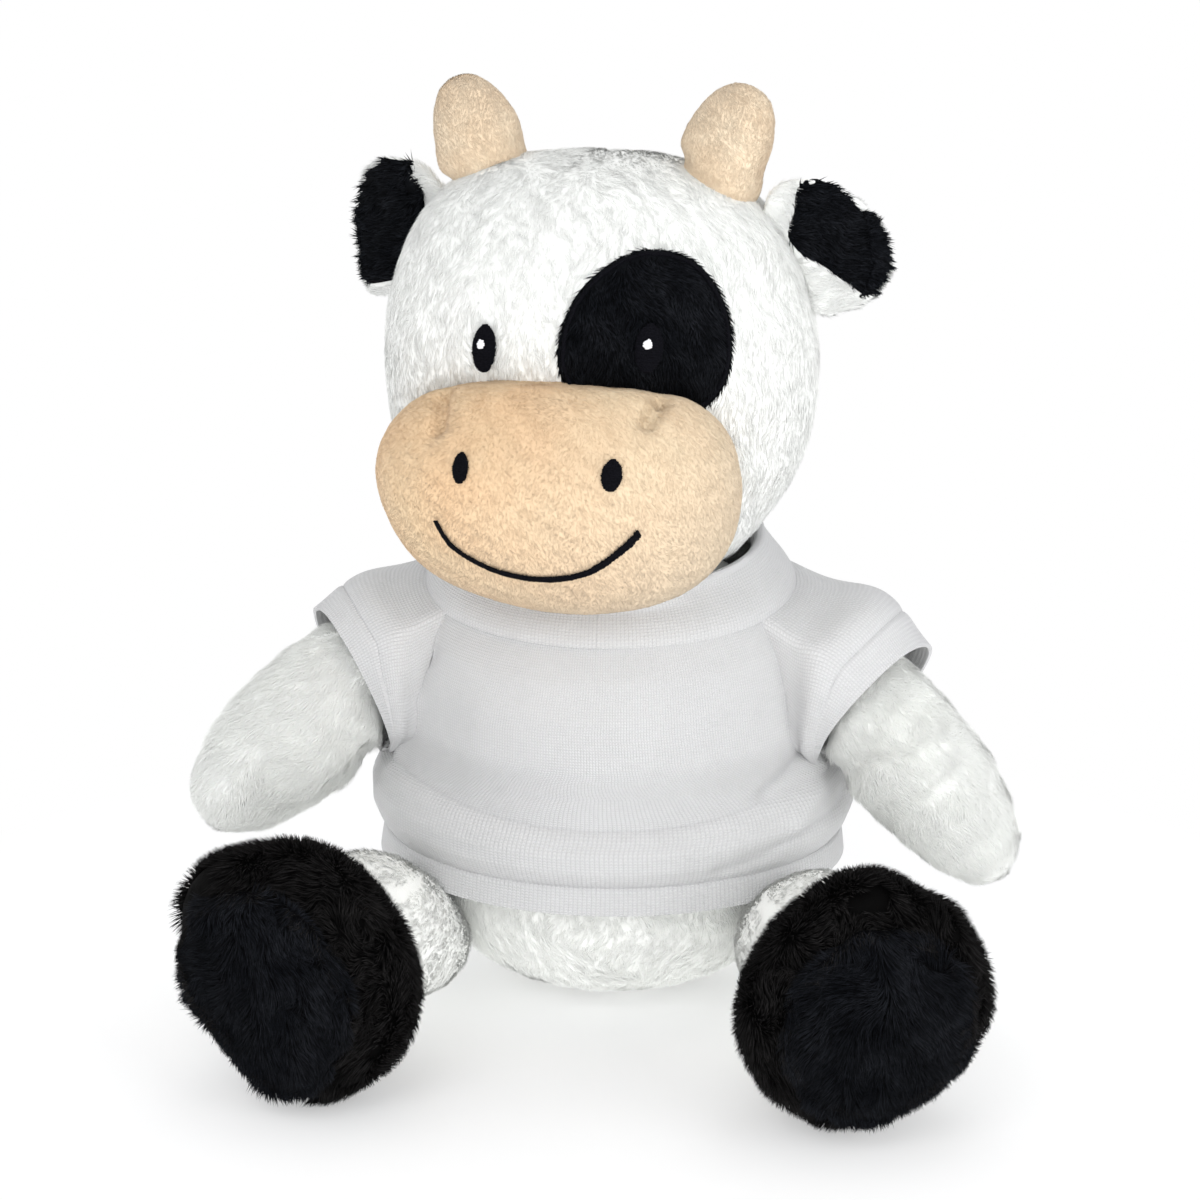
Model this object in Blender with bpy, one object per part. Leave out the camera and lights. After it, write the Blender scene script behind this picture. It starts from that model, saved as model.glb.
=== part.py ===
"""A sitting plush cow in a short-sleeved shirt.

Each soft piece is a skin of plush, open where it is sewn to its neighbour, round its own
stuffing. Places are first given from the middle of the seat on the floor: x to the cow's left,
y backwards, z up, with the cow facing -Y. Last of all the whole toy is moved so that the origin
lies under the middle of its box.
"""

import math

import bmesh
import bpy
from mathutils import Matrix, Vector

MM = 0.001

# Cloth, gaps and cuts
PLUSH = 1.4 * MM
KNIT = 1.0 * MM
FELT = 0.9 * MM
THREAD = 0.6 * MM
GAP = 0.3 * MM
TURN_GAP = 0.6 * MM
REST_CUT = 0.5 * MM
OVERRUN = 150.0 * MM
FINE_STEP = 0.05 * MM

# Body, a squat bag that leans forward at the neck
BODY_WIDE = 86.0 * MM
BODY_DEEP = 76.0 * MM
BODY_TALL = 96.2 * MM
BODY_FULLNESS = (2.9, 3.4)
BODY_TAPER_SHARE = -0.1
NECK_DROP = 4.0 * MM
NECK_FORWARD = 7.0 * MM
PELLETS_IN = 16.0 * MM
PELLETS_TALL = 15.0 * MM
PELLETS_LIFT = 2.6 * MM
PELLETS_FULLNESS = (2.6, 2.6)

# Head
HEAD_WIDE = 88.0 * MM
HEAD_DEEP = 84.0 * MM
HEAD_TALL = 91.0 * MM
HEAD_FULLNESS = (2.2, 2.4)
HEAD_NECK_SHARE = -0.86
HEAD_SIDE = -1.5 * MM
HEAD_YAW_DEG = -8.0

# Muzzle, in the head's own directions
MUZZLE_WIDE = 75.0 * MM
MUZZLE_TALL = 50.0 * MM
MUZZLE_DEEP = 44.0 * MM
MUZZLE_FULLNESS = (2.5, 2.5)
MUZZLE_SUNK = 3.0 * MM
MUZZLE_DROP = 13.0 * MM
MUZZLE_BEND = 3.0 * MM

# Face: places across and above the middle of the head or the muzzle
EYE_SPREAD = 31.2 * MM
EYE_HEIGHT = 14.0 * MM
EYE_WIDE = 5.6 * MM
EYE_TALL = 9.0 * MM
GLINT_SIZE = 1.8 * MM
GLINT_RISE = 0.8 * MM
PATCH_WIDE = 32.5 * MM
PATCH_TALL = 36.0 * MM
PATCH_OUT = 16.0 * MM
PATCH_HEIGHT = 13.5 * MM
NOSTRIL_SPREAD = 28.7 * MM
NOSTRIL_HEIGHT = 8.0 * MM
NOSTRIL_WIDE = 3.9 * MM
NOSTRIL_TALL = 5.8 * MM
SMILE_WIDE = 38.6 * MM
SMILE_HEIGHT = -3.0 * MM
SMILE_SAG = 10.0 * MM
SMILE_LINE = 1.5 * MM

# Horns
HORN_LONG = 30.0 * MM
HORN_WIDE = 20.0 * MM
HORN_DEEP = 17.0 * MM
HORN_FULLNESS = (2.2, 2.3)
HORN_TAPER_SHARE = -0.16
HORN_BEND = 2.5 * MM
HORN_SPREAD = 46.0 * MM
HORN_BACK = 3.0 * MM
HORN_SUNK = 7.0 * MM
HORN_LEAN_DEG = 17.0

# Ears
EAR_LONG = 30.0 * MM
EAR_WIDE = 29.5 * MM
EAR_DEEP = 5.0 * MM
EAR_FULLNESS = (1.9, 2.3)
EAR_CUP = 4.5 * MM
EAR_SWEEP_DEG = 28.0
EAR_DROP_DEG = 4.0
EAR_HEIGHT = 29.0 * MM
EAR_SUNK = 4.5 * MM
EAR_BACK = 4.0 * MM
LINING_MARGIN = 2.25 * MM
LINING_TO_TIP = 1.2 * MM
LINING_ROOT = 7.3 * MM

# Arms
ARM_LONG = 72.5 * MM
ARM_WIDE = 29.0 * MM
ARM_DEEP = 27.5 * MM
ARM_FULLNESS = (2.6, 2.5)
ARM_TAPER_SHARE = 0.05
ARM_BEND = 3.5 * MM
SHOULDER_IN = 2.5 * MM
SHOULDER_DROP = 18.7 * MM
SHOULDER_FORWARD = 3.0 * MM
SHOULDER_ROOM = 16.5 * MM
ARM_SUNK = 13.0 * MM
ARM_OUT_DEG = {"right": 40.5, "left": 44.5}
ARM_SWING_DEG = {"right": 36.0, "left": 34.0}

# Legs and feet
HIP_IN = 5.0 * MM
HIP_BACK = 17.0 * MM
HIP_HEIGHT = 14.0 * MM
HIP_BALL = 26.0 * MM
HIP_PINCH_DEG = 120.0
LEG_SPLAY_DEG = {"right": 19.5, "left": 16.0}
FOOT_REACH = {"right": 55.5 * MM, "left": 61.0 * MM}
FOOT_WIDE = 51.5 * MM
FOOT_TALL = 54.0 * MM
FOOT_LONG = 38.0 * MM
FOOT_FULLNESS = (2.3, 2.7)
ANKLE_SHARE = -0.83
SOLE_SHARE = 0.70

# Tail
TAIL_THICK = 5.0 * MM
TAIL_LONG = 19.0 * MM
TAIL_FULLNESS = (4, 4)
TAIL_DROP_DEG = 34.0
TUFT_LONG = 14.0 * MM
TUFT_WIDE = 9.0 * MM
TUFT_FULLNESS = (2, 1.8)
TUFT_TAPER_SHARE = -0.15

# Shirt
SHIRT_EASE_WIDE = 6.8 * MM
SHIRT_EASE_DEEP = 6.0 * MM
SHIRT_LEAN = 5.0 * MM
HEM_CLEAR = 1.0 * MM
COLLAR_DROP = 5.2 * MM
COLLAR_TILT_SHARE = 0.11
COLLAR_TALL = 8.2 * MM
COLLAR_THICK = 1.8 * MM
COLLAR_ROUND = 1.0 * MM
SIDE_SEAM_DEG = 0.25
SLEEVE_SEAM_DEG = 4.5
RAGLAN_DEG = 58.5
SIDE_DEG = 90.0
UNDERARM_SHARES = (0.26, 0.46)
UNDERARM_OPEN_SHARE = 0.36
SLEEVE_TOP_SHARE = 0.975
CUFF_REACH = 19.0 * MM
CUFF_EASE = 1.25 * MM
SLEEVE_PUFF = 7.0 * MM
SHIRT_GIRTH_SHARES = (
    (0.00, 0.955), (0.08, 0.945), (0.11, 0.935), (0.15, 0.975), (0.21, 1.0), (0.27, 0.985),
    (0.32, 0.92), (0.40, 0.885), (0.55, 0.88), (0.70, 0.86), (0.85, 0.815), (1.00, 0.735),
)
FOLD_ROWS = 8

# How finely the shapes are faceted
AROUND_LARGE, RINGS_LARGE = 22, 12
AROUND_LIMB, RINGS_LIMB = 16, 10
AROUND_FOOT, RINGS_FOOT = 20, 8
AROUND_SMALL, RINGS_SMALL = 12, 7
HIP_RINGS, LEG_RINGS = 6, 4
PANEL_COLUMNS, PANEL_RISES = 14, 6
SHOULDER_POINTS, SLEEVE_STEPS = 3, 5
COLLAR_AROUND, COLLAR_STEPS = 26, 3
SMILE_STEPS = 14
INNER_RINGS_SHARE = 0.55
LEAST_RINGS = 4
PATCH_RINGS, EYE_RINGS, GLINT_RINGS = 4, 2, 1
POLE_SHARE = 1e-6
UPRIGHT_SHARE = 0.99

SIDES = {"right": -1, "left": 1}

COLOURS = {
    "white_plush": (0.86, 0.88, 0.85, 1), "black_plush": (0.012, 0.012, 0.014, 1),
    "peach_plush": (0.86, 0.60, 0.38, 1), "stuffing": (0.9, 0.9, 0.88, 1),
    "shirt_knit": (0.72, 0.72, 0.73, 1), "black_thread": (0.008, 0.008, 0.009, 1),
    "white_thread": (0.9, 0.9, 0.9, 1), "pellets": (0.8, 0.82, 0.86, 1),
}
ROUGHNESS = {"black_thread": 0.45, "white_thread": 0.45, "pellets": 0.5}
SOFT_ROUGHNESS = 0.9


class Form:
    """A stuffed shape: rings round the local Z axis that swell and close to a point at each end.

    Fullness sets how square the low and the high half are. Taper makes the high end thicker,
    bend moves the low and the high end along local Y, and cup curls the edges along X towards -Y.
    """

    def __init__(self, wide, deep, long, place, fullness, taper=0, bend=(0, 0), cup=0):
        self.half = Vector((wide, deep, long)) / 2
        self.place = place
        self.fullness = fullness
        self.taper = taper
        self.bend = bend
        self.cup = cup

    def girth(self, along):
        """The ring's share of the full width at a share along the axis."""
        power = self.fullness[0] if along < 0 else self.fullness[1]
        round_share = max(0, 1 - abs(along) ** power) ** (1 / power)
        return round_share * (1 + self.taper * along)

    def shift(self, along):
        return self.bend[0 if along < 0 else 1] * along ** 2

    def local(self, turn, along, inset=0):
        girth = self.girth(along)
        across = math.cos(turn) * girth
        x = (self.half.x - inset) * across
        y = (self.half.y - inset) * math.sin(turn) * girth
        y += self.shift(along) - self.cup * across ** 2
        return Vector((x, y, (self.half.z - inset) * along))

    def point(self, turn, along, inset=0):
        return self.place @ self.local(turn, along, inset)

    def rings(self, around, count, low=-1.0, high=1.0, inset=0):
        """Rings from low to high, closer together towards the ends; a pole is one point."""
        start, stop = math.acos(-low), math.acos(-high)
        result = []
        for step in range(count + 1):
            along = -math.cos(start + (stop - start) * step / count)
            along = max(-1.0, min(1.0, along))
            if self.girth(along) < POLE_SHARE:
                result.append([self.point(0, along, inset)])
            else:
                result.append([self.point(turn, along, inset) for turn in turns_round(around)])
        return result

    def front(self, across, up, lift=0):
        """A point on the front, -Y, side at a distance across and along the axis, lifted off it."""
        def base(a, u):
            along = max(-1.0, min(1.0, u / self.half.z))
            girth = self.girth(along)
            share = max(-1.0, min(1.0, a / (self.half.x * girth)))
            depth = self.half.y * girth * math.sqrt(1 - share ** 2)
            return Vector((a, self.shift(along) - depth, u))

        here = base(across, up)
        side = base(across + FINE_STEP, up) - here
        rise = base(across, up + FINE_STEP) - here
        normal = side.cross(rise).normalized()
        return self.place @ (here + normal * lift)


def turns_round(around):
    return [2 * math.pi * i / around for i in range(around)]


def bridge(mesh, low, high):
    """Faces between two rings, either of which may be a single point."""
    count = max(len(low), len(high))
    for i in range(count):
        j = (i + 1) % count
        if len(low) == 1:
            mesh.faces.new((low[0], high[j], high[i]))
        elif len(high) == 1:
            mesh.faces.new((low[i], low[j], high[0]))
        else:
            mesh.faces.new((low[i], low[j], high[j], high[i]))


def add_rings(mesh, rings):
    layers = [[mesh.verts.new(point) for point in ring] for ring in rings]
    for low, high in zip(layers, layers[1:]):
        bridge(mesh, low, high)
    return layers


def as_object(name, mesh, material):
    """Make an object of a bmesh as it stands."""
    data = bpy.data.meshes.new(name)
    mesh.to_mesh(data)
    mesh.free()
    data.materials.append(material)
    data.shade_smooth()
    piece = bpy.data.objects.new(name, data)
    bpy.context.scene.collection.objects.link(piece)
    return piece


def finish(name, mesh, material):
    """Make an object of a bmesh, facing outwards."""
    bmesh.ops.recalc_face_normals(mesh, faces=mesh.faces)
    return as_object(name, mesh, material)


def capped(name, rings, material):
    """A closed solid through rings, with a flat end where it stops short of a point."""
    mesh = bmesh.new()
    layers = add_rings(mesh, rings)
    for ring in (layers[0], layers[-1]):
        if len(ring) > 1:
            mesh.faces.new(ring)
    return finish(name, mesh, material)


def shell(name, outer_rings, inner_rings, material):
    """A skin between outer and inner rings, open at an end that stops short of a point."""
    mesh = bmesh.new()
    outer = add_rings(mesh, outer_rings)
    outside = set(mesh.faces)
    inner = add_rings(mesh, inner_rings)
    inside = [face for face in mesh.faces if face not in outside]
    for end in (0, -1):
        if len(outer[end]) > 1:
            bridge(mesh, outer[end], inner[end])
    bmesh.ops.recalc_face_normals(mesh, faces=mesh.faces)
    if len(outer[0]) == len(outer[-1]) == 1:
        bmesh.ops.reverse_faces(mesh, faces=inside)
    return as_object(name, mesh, material)


def inner_count(count):
    return max(LEAST_RINGS, round(count * INNER_RINGS_SHARE))


def solid(name, form, material, around, count, low=-1.0, high=1.0):
    return capped(name, form.rings(around, count, low, high), material)


def skin(name, form, material, around, count, low=-1.0, high=1.0):
    """A skin of a form. Its inside is a hollow that shows where an end or a cut opens it."""
    outer = form.rings(around, count, low, high)
    inner = form.rings(around, inner_count(count), low, high, PLUSH)
    return shell(name, outer, inner, material)


def stuffing(name, form, around, count, low=-1.0, high=1.0):
    """The filling of a skin, just inside it."""
    rings = form.rings(around, inner_count(count), low, high, PLUSH + GAP)
    return capped(name, rings, MATERIALS["stuffing"])


def box(low, high):
    """A box between two corners, for cutting."""
    mesh = bmesh.new()
    bmesh.ops.create_cube(mesh, size=1)
    size = Vector(high) - Vector(low)
    middle = (Vector(high) + Vector(low)) / 2
    bmesh.ops.transform(mesh, matrix=Matrix.Translation(middle) @ Matrix.Diagonal(size).to_4x4(),
                        verts=mesh.verts)
    return finish("cutter", mesh, MATERIALS["stuffing"])


def ball(centre, radius):
    place = Matrix.Translation(centre)
    form = Form(2 * radius, 2 * radius, 2 * radius, place, (2, 2))
    return solid("cutter", form, MATERIALS["stuffing"], AROUND_LARGE, RINGS_LIMB)


def disc(start, stop, radius):
    """A straight round cutter from one point to another."""
    axis = Vector(stop) - Vector(start)
    place = aimed(Vector(start), axis)
    ends = []
    for height in (0, axis.length):
        ends.append([place @ Vector((radius * math.cos(turn), radius * math.sin(turn), height))
                     for turn in turns_round(AROUND_LARGE)])
    return capped("cutter", ends, MATERIALS["stuffing"])


def carve(piece, *cutters):
    """Cut other shapes out of a piece and throw the cutters away."""
    for cutter in cutters:
        cut = piece.modifiers.new("cut", "BOOLEAN")
        cut.operation = "DIFFERENCE"
        cut.object = cutter
    evaluated = piece.evaluated_get(bpy.context.evaluated_depsgraph_get())
    data = bpy.data.meshes.new_from_object(evaluated)
    piece.modifiers.clear()
    piece.data = data
    for cutter in cutters:
        bpy.data.objects.remove(cutter)


def stand(piece):
    """Cut a piece flat where it rests on the floor."""
    carve(piece, box((-OVERRUN, -OVERRUN, -OVERRUN), (OVERRUN, OVERRUN, 0)))


def cloth(name, rows, thick, closed=False):
    """A sheet of knit over rows of points, thickened outwards."""
    mesh = bmesh.new()
    grid = [[mesh.verts.new(point) for point in row] for row in rows]
    columns = len(grid[0])
    last = columns if closed else columns - 1
    for low, high in zip(grid, grid[1:]):
        for i in range(last):
            j = (i + 1) % columns
            mesh.faces.new((low[i], low[j], high[j], high[i]))
    piece = as_object(name, mesh, MATERIALS["shirt_knit"])
    thickness = piece.modifiers.new("thickness", "SOLIDIFY")
    thickness.thickness = thick
    thickness.offset = 1
    return piece


def aimed(start, direction):
    """A place at start whose Z axis points along direction and whose Y axis points low."""
    ahead = direction.normalized()
    low = Vector((0, 0, -1))
    if abs(ahead.z) < UPRIGHT_SHARE:
        low = (low - ahead * low.dot(ahead)).normalized()
    else:
        low = Vector((0, 1, 0))
    side = low.cross(ahead)
    turn = Matrix((side, low, ahead)).transposed().to_4x4()
    return Matrix.Translation(start) @ turn


def smooth(share):
    share = max(0.0, min(1.0, share))
    return share * share * (3 - 2 * share)


def read_shares(table, share):
    """Read a table of (place, value) shares with rounded steps between its rows."""
    for (low, first), (high, second) in zip(table, table[1:]):
        if share <= high:
            return first + (second - first) * smooth((share - low) / (high - low))
    return table[-1][1]


def make_material(name):
    material = bpy.data.materials.new(name)
    material.use_nodes = True
    shader = material.node_tree.nodes["Principled BSDF"]
    shader.inputs["Base Color"].default_value = COLOURS[name]
    shader.inputs["Roughness"].default_value = ROUGHNESS.get(name, SOFT_ROUGHNESS)
    shader.inputs["Metallic"].default_value = 0
    return material


# Places worked out from the sizes
NECK_HEIGHT = BODY_TALL - NECK_DROP
BODY_MIDDLE = BODY_TALL / 2 - REST_CUT
BODY_TOP_SHARE = (NECK_HEIGHT - GAP / 2 - BODY_MIDDLE) / (BODY_TALL / 2)
HEAD_MIDDLE = NECK_HEIGHT + GAP / 2 - HEAD_NECK_SHARE * HEAD_TALL / 2
HEAD_PLACE = (Matrix.Translation((HEAD_SIDE, -NECK_FORWARD, HEAD_MIDDLE))
              @ Matrix.Rotation(math.radians(HEAD_YAW_DEG), 4, "Z"))
SIDEWAYS = Matrix(((0, 0, 1, 0), (0, 1, 0, 0), (-1, 0, 0, 0), (0, 0, 0, 1)))
MUZZLE_FORWARD = HEAD_DEEP / 2 - MUZZLE_SUNK
MUZZLE_PLACE = HEAD_PLACE @ Matrix.Translation((0, -MUZZLE_FORWARD, -MUZZLE_DROP)) @ SIDEWAYS
SHOULDER_OUT = BODY_WIDE / 2 - SHOULDER_IN
HIP_OUT = BODY_WIDE / 2 - HIP_IN
HIP_FORWARD = BODY_DEEP / 2 - HIP_BACK
SHIRT_HALF_WIDE = BODY_WIDE / 2 + SHIRT_EASE_WIDE
SHIRT_HALF_DEEP = BODY_DEEP / 2 + SHIRT_EASE_DEEP
HEM_HEIGHT = HIP_HEIGHT + HIP_BALL / 2 + HEM_CLEAR
COLLAR_HEIGHT = NECK_HEIGHT - COLLAR_DROP
TAIL_HEIGHT = HEM_HEIGHT - HEM_CLEAR - TAIL_THICK / 2

BODY = Form(BODY_WIDE, BODY_DEEP, BODY_TALL, Matrix.Translation((0, 0, BODY_MIDDLE)),
            BODY_FULLNESS, BODY_TAPER_SHARE, (0, -NECK_FORWARD / BODY_TOP_SHARE ** 2))
HEAD = Form(HEAD_WIDE, HEAD_DEEP, HEAD_TALL, HEAD_PLACE, HEAD_FULLNESS)
MUZZLE = Form(MUZZLE_TALL, MUZZLE_DEEP, MUZZLE_WIDE, MUZZLE_PLACE, MUZZLE_FULLNESS,
              bend=(MUZZLE_BEND, MUZZLE_BEND))
MATERIALS = {}


def grown_cutter(form, low=-1.0, around=AROUND_LARGE, count=RINGS_LARGE):
    """A cutter of a form's shape, one gap larger all round."""
    size = (form.half + Vector((GAP, GAP, GAP))) * 2
    grown = Form(size.x, size.y, size.z, form.place, form.fullness, form.taper, form.bend, form.cup)
    return solid("cutter", grown, MATERIALS["stuffing"], around, count, low)


def head_cutter():
    return grown_cutter(HEAD, HEAD_NECK_SHARE)


def shoulder(side):
    return Vector((side * SHOULDER_OUT, -SHOULDER_FORWARD, NECK_HEIGHT - SHOULDER_DROP))


def hip(side):
    return Vector((side * HIP_OUT, -HIP_FORWARD, HIP_HEIGHT))


def arm_direction(name):
    out = math.radians(ARM_OUT_DEG[name])
    swing = math.radians(ARM_SWING_DEG[name])
    down = math.sin(out)
    return Vector((SIDES[name] * math.cos(out), -down * math.sin(swing), -down * math.cos(swing)))


def leg_direction(name):
    splay = math.radians(LEG_SPLAY_DEG[name])
    rise = (FOOT_TALL / 2 - REST_CUT - HIP_HEIGHT) / FOOT_REACH[name]
    return Vector((SIDES[name] * math.sin(splay), -math.cos(splay), rise)).normalized()


def arm_form(name):
    ahead = arm_direction(name)
    middle = shoulder(SIDES[name]) + ahead * (ARM_LONG / 2 - ARM_SUNK)
    return Form(ARM_WIDE, ARM_DEEP, ARM_LONG, aimed(middle, ahead), ARM_FULLNESS,
                ARM_TAPER_SHARE, (ARM_BEND, ARM_BEND))


def foot_form(name):
    level = leg_direction(name)
    level.z = 0
    middle = hip(SIDES[name]) + leg_direction(name) * FOOT_REACH[name]
    middle.z = FOOT_TALL / 2 - REST_CUT
    return Form(FOOT_WIDE, FOOT_TALL, FOOT_LONG, aimed(middle, level), FOOT_FULLNESS)


def joint_cutters(more):
    """What the body gives up to the arms and legs: flats at the shoulders, sockets at the hips."""
    flat = ARM_WIDE / 2 + SHOULDER_ROOM + more
    socket = HIP_BALL / 2 + TURN_GAP + more
    cutters = []
    for name, side in SIDES.items():
        start = shoulder(side) - Vector((side * more, 0, 0))
        cutters.append(disc(start, start + Vector((side * OVERRUN, 0, 0)), flat))
        cutters.append(ball(hip(side), socket))
        cutters.append(disc(hip(side), hip(side) + leg_direction(name) * OVERRUN, socket))
    return cutters


def make_body():
    """The body skin, its stuffing and the pouch of pellets that keeps the toy sitting."""
    piece = skin("body_skin", BODY, MATERIALS["white_plush"], AROUND_LARGE, RINGS_LARGE,
                 high=BODY_TOP_SHARE)
    core = stuffing("body_stuffing", BODY, AROUND_LARGE, RINGS_LARGE, high=BODY_TOP_SHARE)
    carve(piece, *joint_cutters(0))
    carve(core, *joint_cutters(GAP))
    stand(piece)
    middle = PELLETS_LIFT + PELLETS_TALL / 2
    pouch = Form(2 * HIP_OUT - HIP_BALL, BODY_DEEP - 2 * PELLETS_IN, PELLETS_TALL,
                 Matrix.Translation((0, 0, middle)), PELLETS_FULLNESS)
    below = box((-OVERRUN, -OVERRUN, -OVERRUN), (OVERRUN, OVERRUN, middle))
    carve(core, grown_cutter(pouch), below)
    return [piece, core, solid("pellet_pouch", pouch, MATERIALS["pellets"], AROUND_LIMB, RINGS_SMALL)]


def make_head():
    """The head skin, open at the neck, and its stuffing."""
    return [
        skin("head_skin", HEAD, MATERIALS["white_plush"], AROUND_LARGE, RINGS_LARGE,
             low=HEAD_NECK_SHARE),
        stuffing("head_stuffing", HEAD, AROUND_LARGE, RINGS_LARGE, low=HEAD_NECK_SHARE),
    ]


def make_muzzle():
    """The muzzle, open at the back where it is sewn to the head."""
    piece = skin("muzzle_skin", MUZZLE, MATERIALS["peach_plush"], AROUND_LARGE, RINGS_LARGE)
    carve(piece, head_cutter())
    core = stuffing("muzzle_stuffing", MUZZLE, AROUND_LARGE, RINGS_LARGE)
    carve(core, head_cutter())
    return [piece, core]


def horn_form(name):
    """A horn that leans outwards from the top of the head, with its inner side bent in."""
    side = SIDES[name]
    share = math.sqrt(1 - (HORN_SPREAD / HEAD_WIDE) ** 2)
    lean = math.radians(HORN_LEAN_DEG)
    ahead = Vector((side * math.sin(lean), 0, math.cos(lean)))
    root = Vector((side * HORN_SPREAD / 2, HORN_BACK, share * HEAD_TALL / 2)) - ahead * HORN_SUNK
    back = Vector((0, side, 0))
    turn = Matrix((back.cross(ahead), back, ahead)).transposed().to_4x4()
    across = Matrix.Rotation(math.pi / 2, 4, "Z")
    place = HEAD_PLACE @ Matrix.Translation(root + ahead * HORN_LONG / 2) @ turn @ across
    return Form(HORN_DEEP, HORN_WIDE, HORN_LONG, place, HORN_FULLNESS, HORN_TAPER_SHARE,
                (-HORN_BEND, -HORN_BEND))


def make_horn(name):
    piece = solid("horn_" + name, horn_form(name), MATERIALS["peach_plush"], AROUND_LIMB, RINGS_SMALL)
    carve(piece, head_cutter())
    return piece


def ear_place(side):
    """Root of an ear on the head: Z outwards along the ear, X up, -Y to its open face."""
    share = math.sqrt(1 - (2 * EAR_HEIGHT / HEAD_TALL) ** 2)
    root = Vector((side * share * HEAD_WIDE / 2, EAR_BACK, EAR_HEIGHT))
    sweep, drop = math.radians(EAR_SWEEP_DEG), math.radians(EAR_DROP_DEG)
    ahead = Vector((side * math.cos(sweep) * math.cos(drop), math.sin(sweep) * math.cos(drop),
                    -math.sin(drop)))
    back = Vector((-side * math.sin(sweep), math.cos(sweep), 0))
    turn = Matrix((back.cross(ahead), back, ahead)).transposed().to_4x4()
    return HEAD_PLACE @ Matrix.Translation(root - ahead * EAR_SUNK) @ turn


def make_ear(name):
    """A white ear, cupped, with a black lining in its cup."""
    place = ear_place(SIDES[name])
    form = Form(EAR_WIDE, EAR_DEEP, EAR_LONG, place @ Matrix.Translation((0, 0, EAR_LONG / 2)),
                EAR_FULLNESS, cup=EAR_CUP)
    ear = solid("ear_" + name, form, MATERIALS["white_plush"], AROUND_LIMB, RINGS_SMALL)
    long = EAR_LONG - LINING_TO_TIP - LINING_ROOT
    ahead = -(EAR_DEEP + FELT) / 2 - GAP
    lining_place = place @ Matrix.Translation((0, ahead, LINING_ROOT + long / 2))
    lining_form = Form(EAR_WIDE - 2 * LINING_MARGIN, FELT, long, lining_place, EAR_FULLNESS,
                       cup=EAR_CUP)
    lining = solid("ear_lining_" + name, lining_form, MATERIALS["black_plush"], AROUND_LIMB,
                   RINGS_SMALL)
    for piece in (ear, lining):
        horn = grown_cutter(horn_form(name), around=AROUND_LIMB, count=RINGS_SMALL)
        carve(piece, head_cutter(), horn)
    return [ear, lining]


def oval_on(name, form, centre, size, lift, thick, material, around, rings, swap=False):
    """A flat oval that follows the front of a form: centre and size across and up."""
    mesh = bmesh.new()

    def point(share, turn, height):
        across = centre[0] + share * size[0] / 2 * math.cos(turn)
        up = centre[1] + share * size[1] / 2 * math.sin(turn)
        return form.front(-up, across, height) if swap else form.front(across, up, height)

    layers = []
    for height in (lift, lift + thick):
        layer = [[point(0, 0, height)]]
        for ring in range(1, rings + 1):
            layer.append([point(ring / rings, turn, height) for turn in turns_round(around)])
        layers.append(add_rings(mesh, layer))
    bridge(mesh, layers[0][-1], layers[1][-1])
    return finish(name, mesh, material)


def make_face():
    """The eye patch, and the embroidered eyes and nostrils."""
    thread = MATERIALS["black_thread"]
    patch = oval_on("eye_patch", HEAD, (PATCH_OUT, PATCH_HEIGHT), (PATCH_WIDE, PATCH_TALL), GAP,
                    FELT, MATERIALS["black_plush"], AROUND_LARGE, PATCH_RINGS)
    carve(patch, grown_cutter(MUZZLE))
    pieces = [patch]
    for name, side in SIDES.items():
        under = 2 * GAP + FELT if name == "left" else GAP
        centre = (side * EYE_SPREAD / 2, EYE_HEIGHT)
        eye = oval_on("eye_" + name, HEAD, centre, (EYE_WIDE, EYE_TALL), under, THREAD, thread,
                      AROUND_SMALL, EYE_RINGS)
        carve(eye, grown_cutter(MUZZLE))
        glint = oval_on("eye_glint_" + name, HEAD, (centre[0], centre[1] + GLINT_RISE),
                        (GLINT_SIZE, GLINT_SIZE), under + THREAD + GAP, THREAD,
                        MATERIALS["white_thread"], AROUND_SMALL, GLINT_RINGS)
        nostril = oval_on("nostril_" + name, MUZZLE, (side * NOSTRIL_SPREAD / 2, NOSTRIL_HEIGHT),
                          (NOSTRIL_WIDE, NOSTRIL_TALL), GAP, THREAD, thread, AROUND_SMALL,
                          EYE_RINGS, swap=True)
        pieces += [eye, glint, nostril]
    return pieces


def make_smile():
    """The embroidered mouth: a strip along a hanging arc on the muzzle."""
    rings = []
    for step in range(SMILE_STEPS + 1):
        share = 2 * step / SMILE_STEPS - 1
        across = share * SMILE_WIDE / 2
        up = SMILE_HEIGHT - SMILE_SAG * (1 - share ** 2)
        slope = Vector((SMILE_WIDE / 2, 2 * share * SMILE_SAG)).normalized()
        ring = []
        for edge, height in ((-1, GAP), (1, GAP), (1, GAP + THREAD), (-1, GAP + THREAD)):
            shift = edge * SMILE_LINE / 2
            ring.append(MUZZLE.front(-(up + shift * slope.x), across - shift * slope.y, height))
        rings.append(ring)
    return capped("smile", rings, MATERIALS["black_thread"])


def make_arm(name):
    """An arm, cut flat at the shoulder, so that it can swing there."""
    form = arm_form(name)
    pieces = [
        skin("arm_skin_" + name, form, MATERIALS["white_plush"], AROUND_LIMB, RINGS_LIMB),
        stuffing("arm_stuffing_" + name, form, AROUND_LIMB, RINGS_LIMB),
    ]
    near = SIDES[name] * (SHOULDER_OUT + GAP)
    far = -SIDES[name] * OVERRUN
    for piece in pieces:
        carve(piece, box((min(near, far), -OVERRUN, -OVERRUN), (max(near, far), OVERRUN, OVERRUN)))
    return pieces


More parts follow.
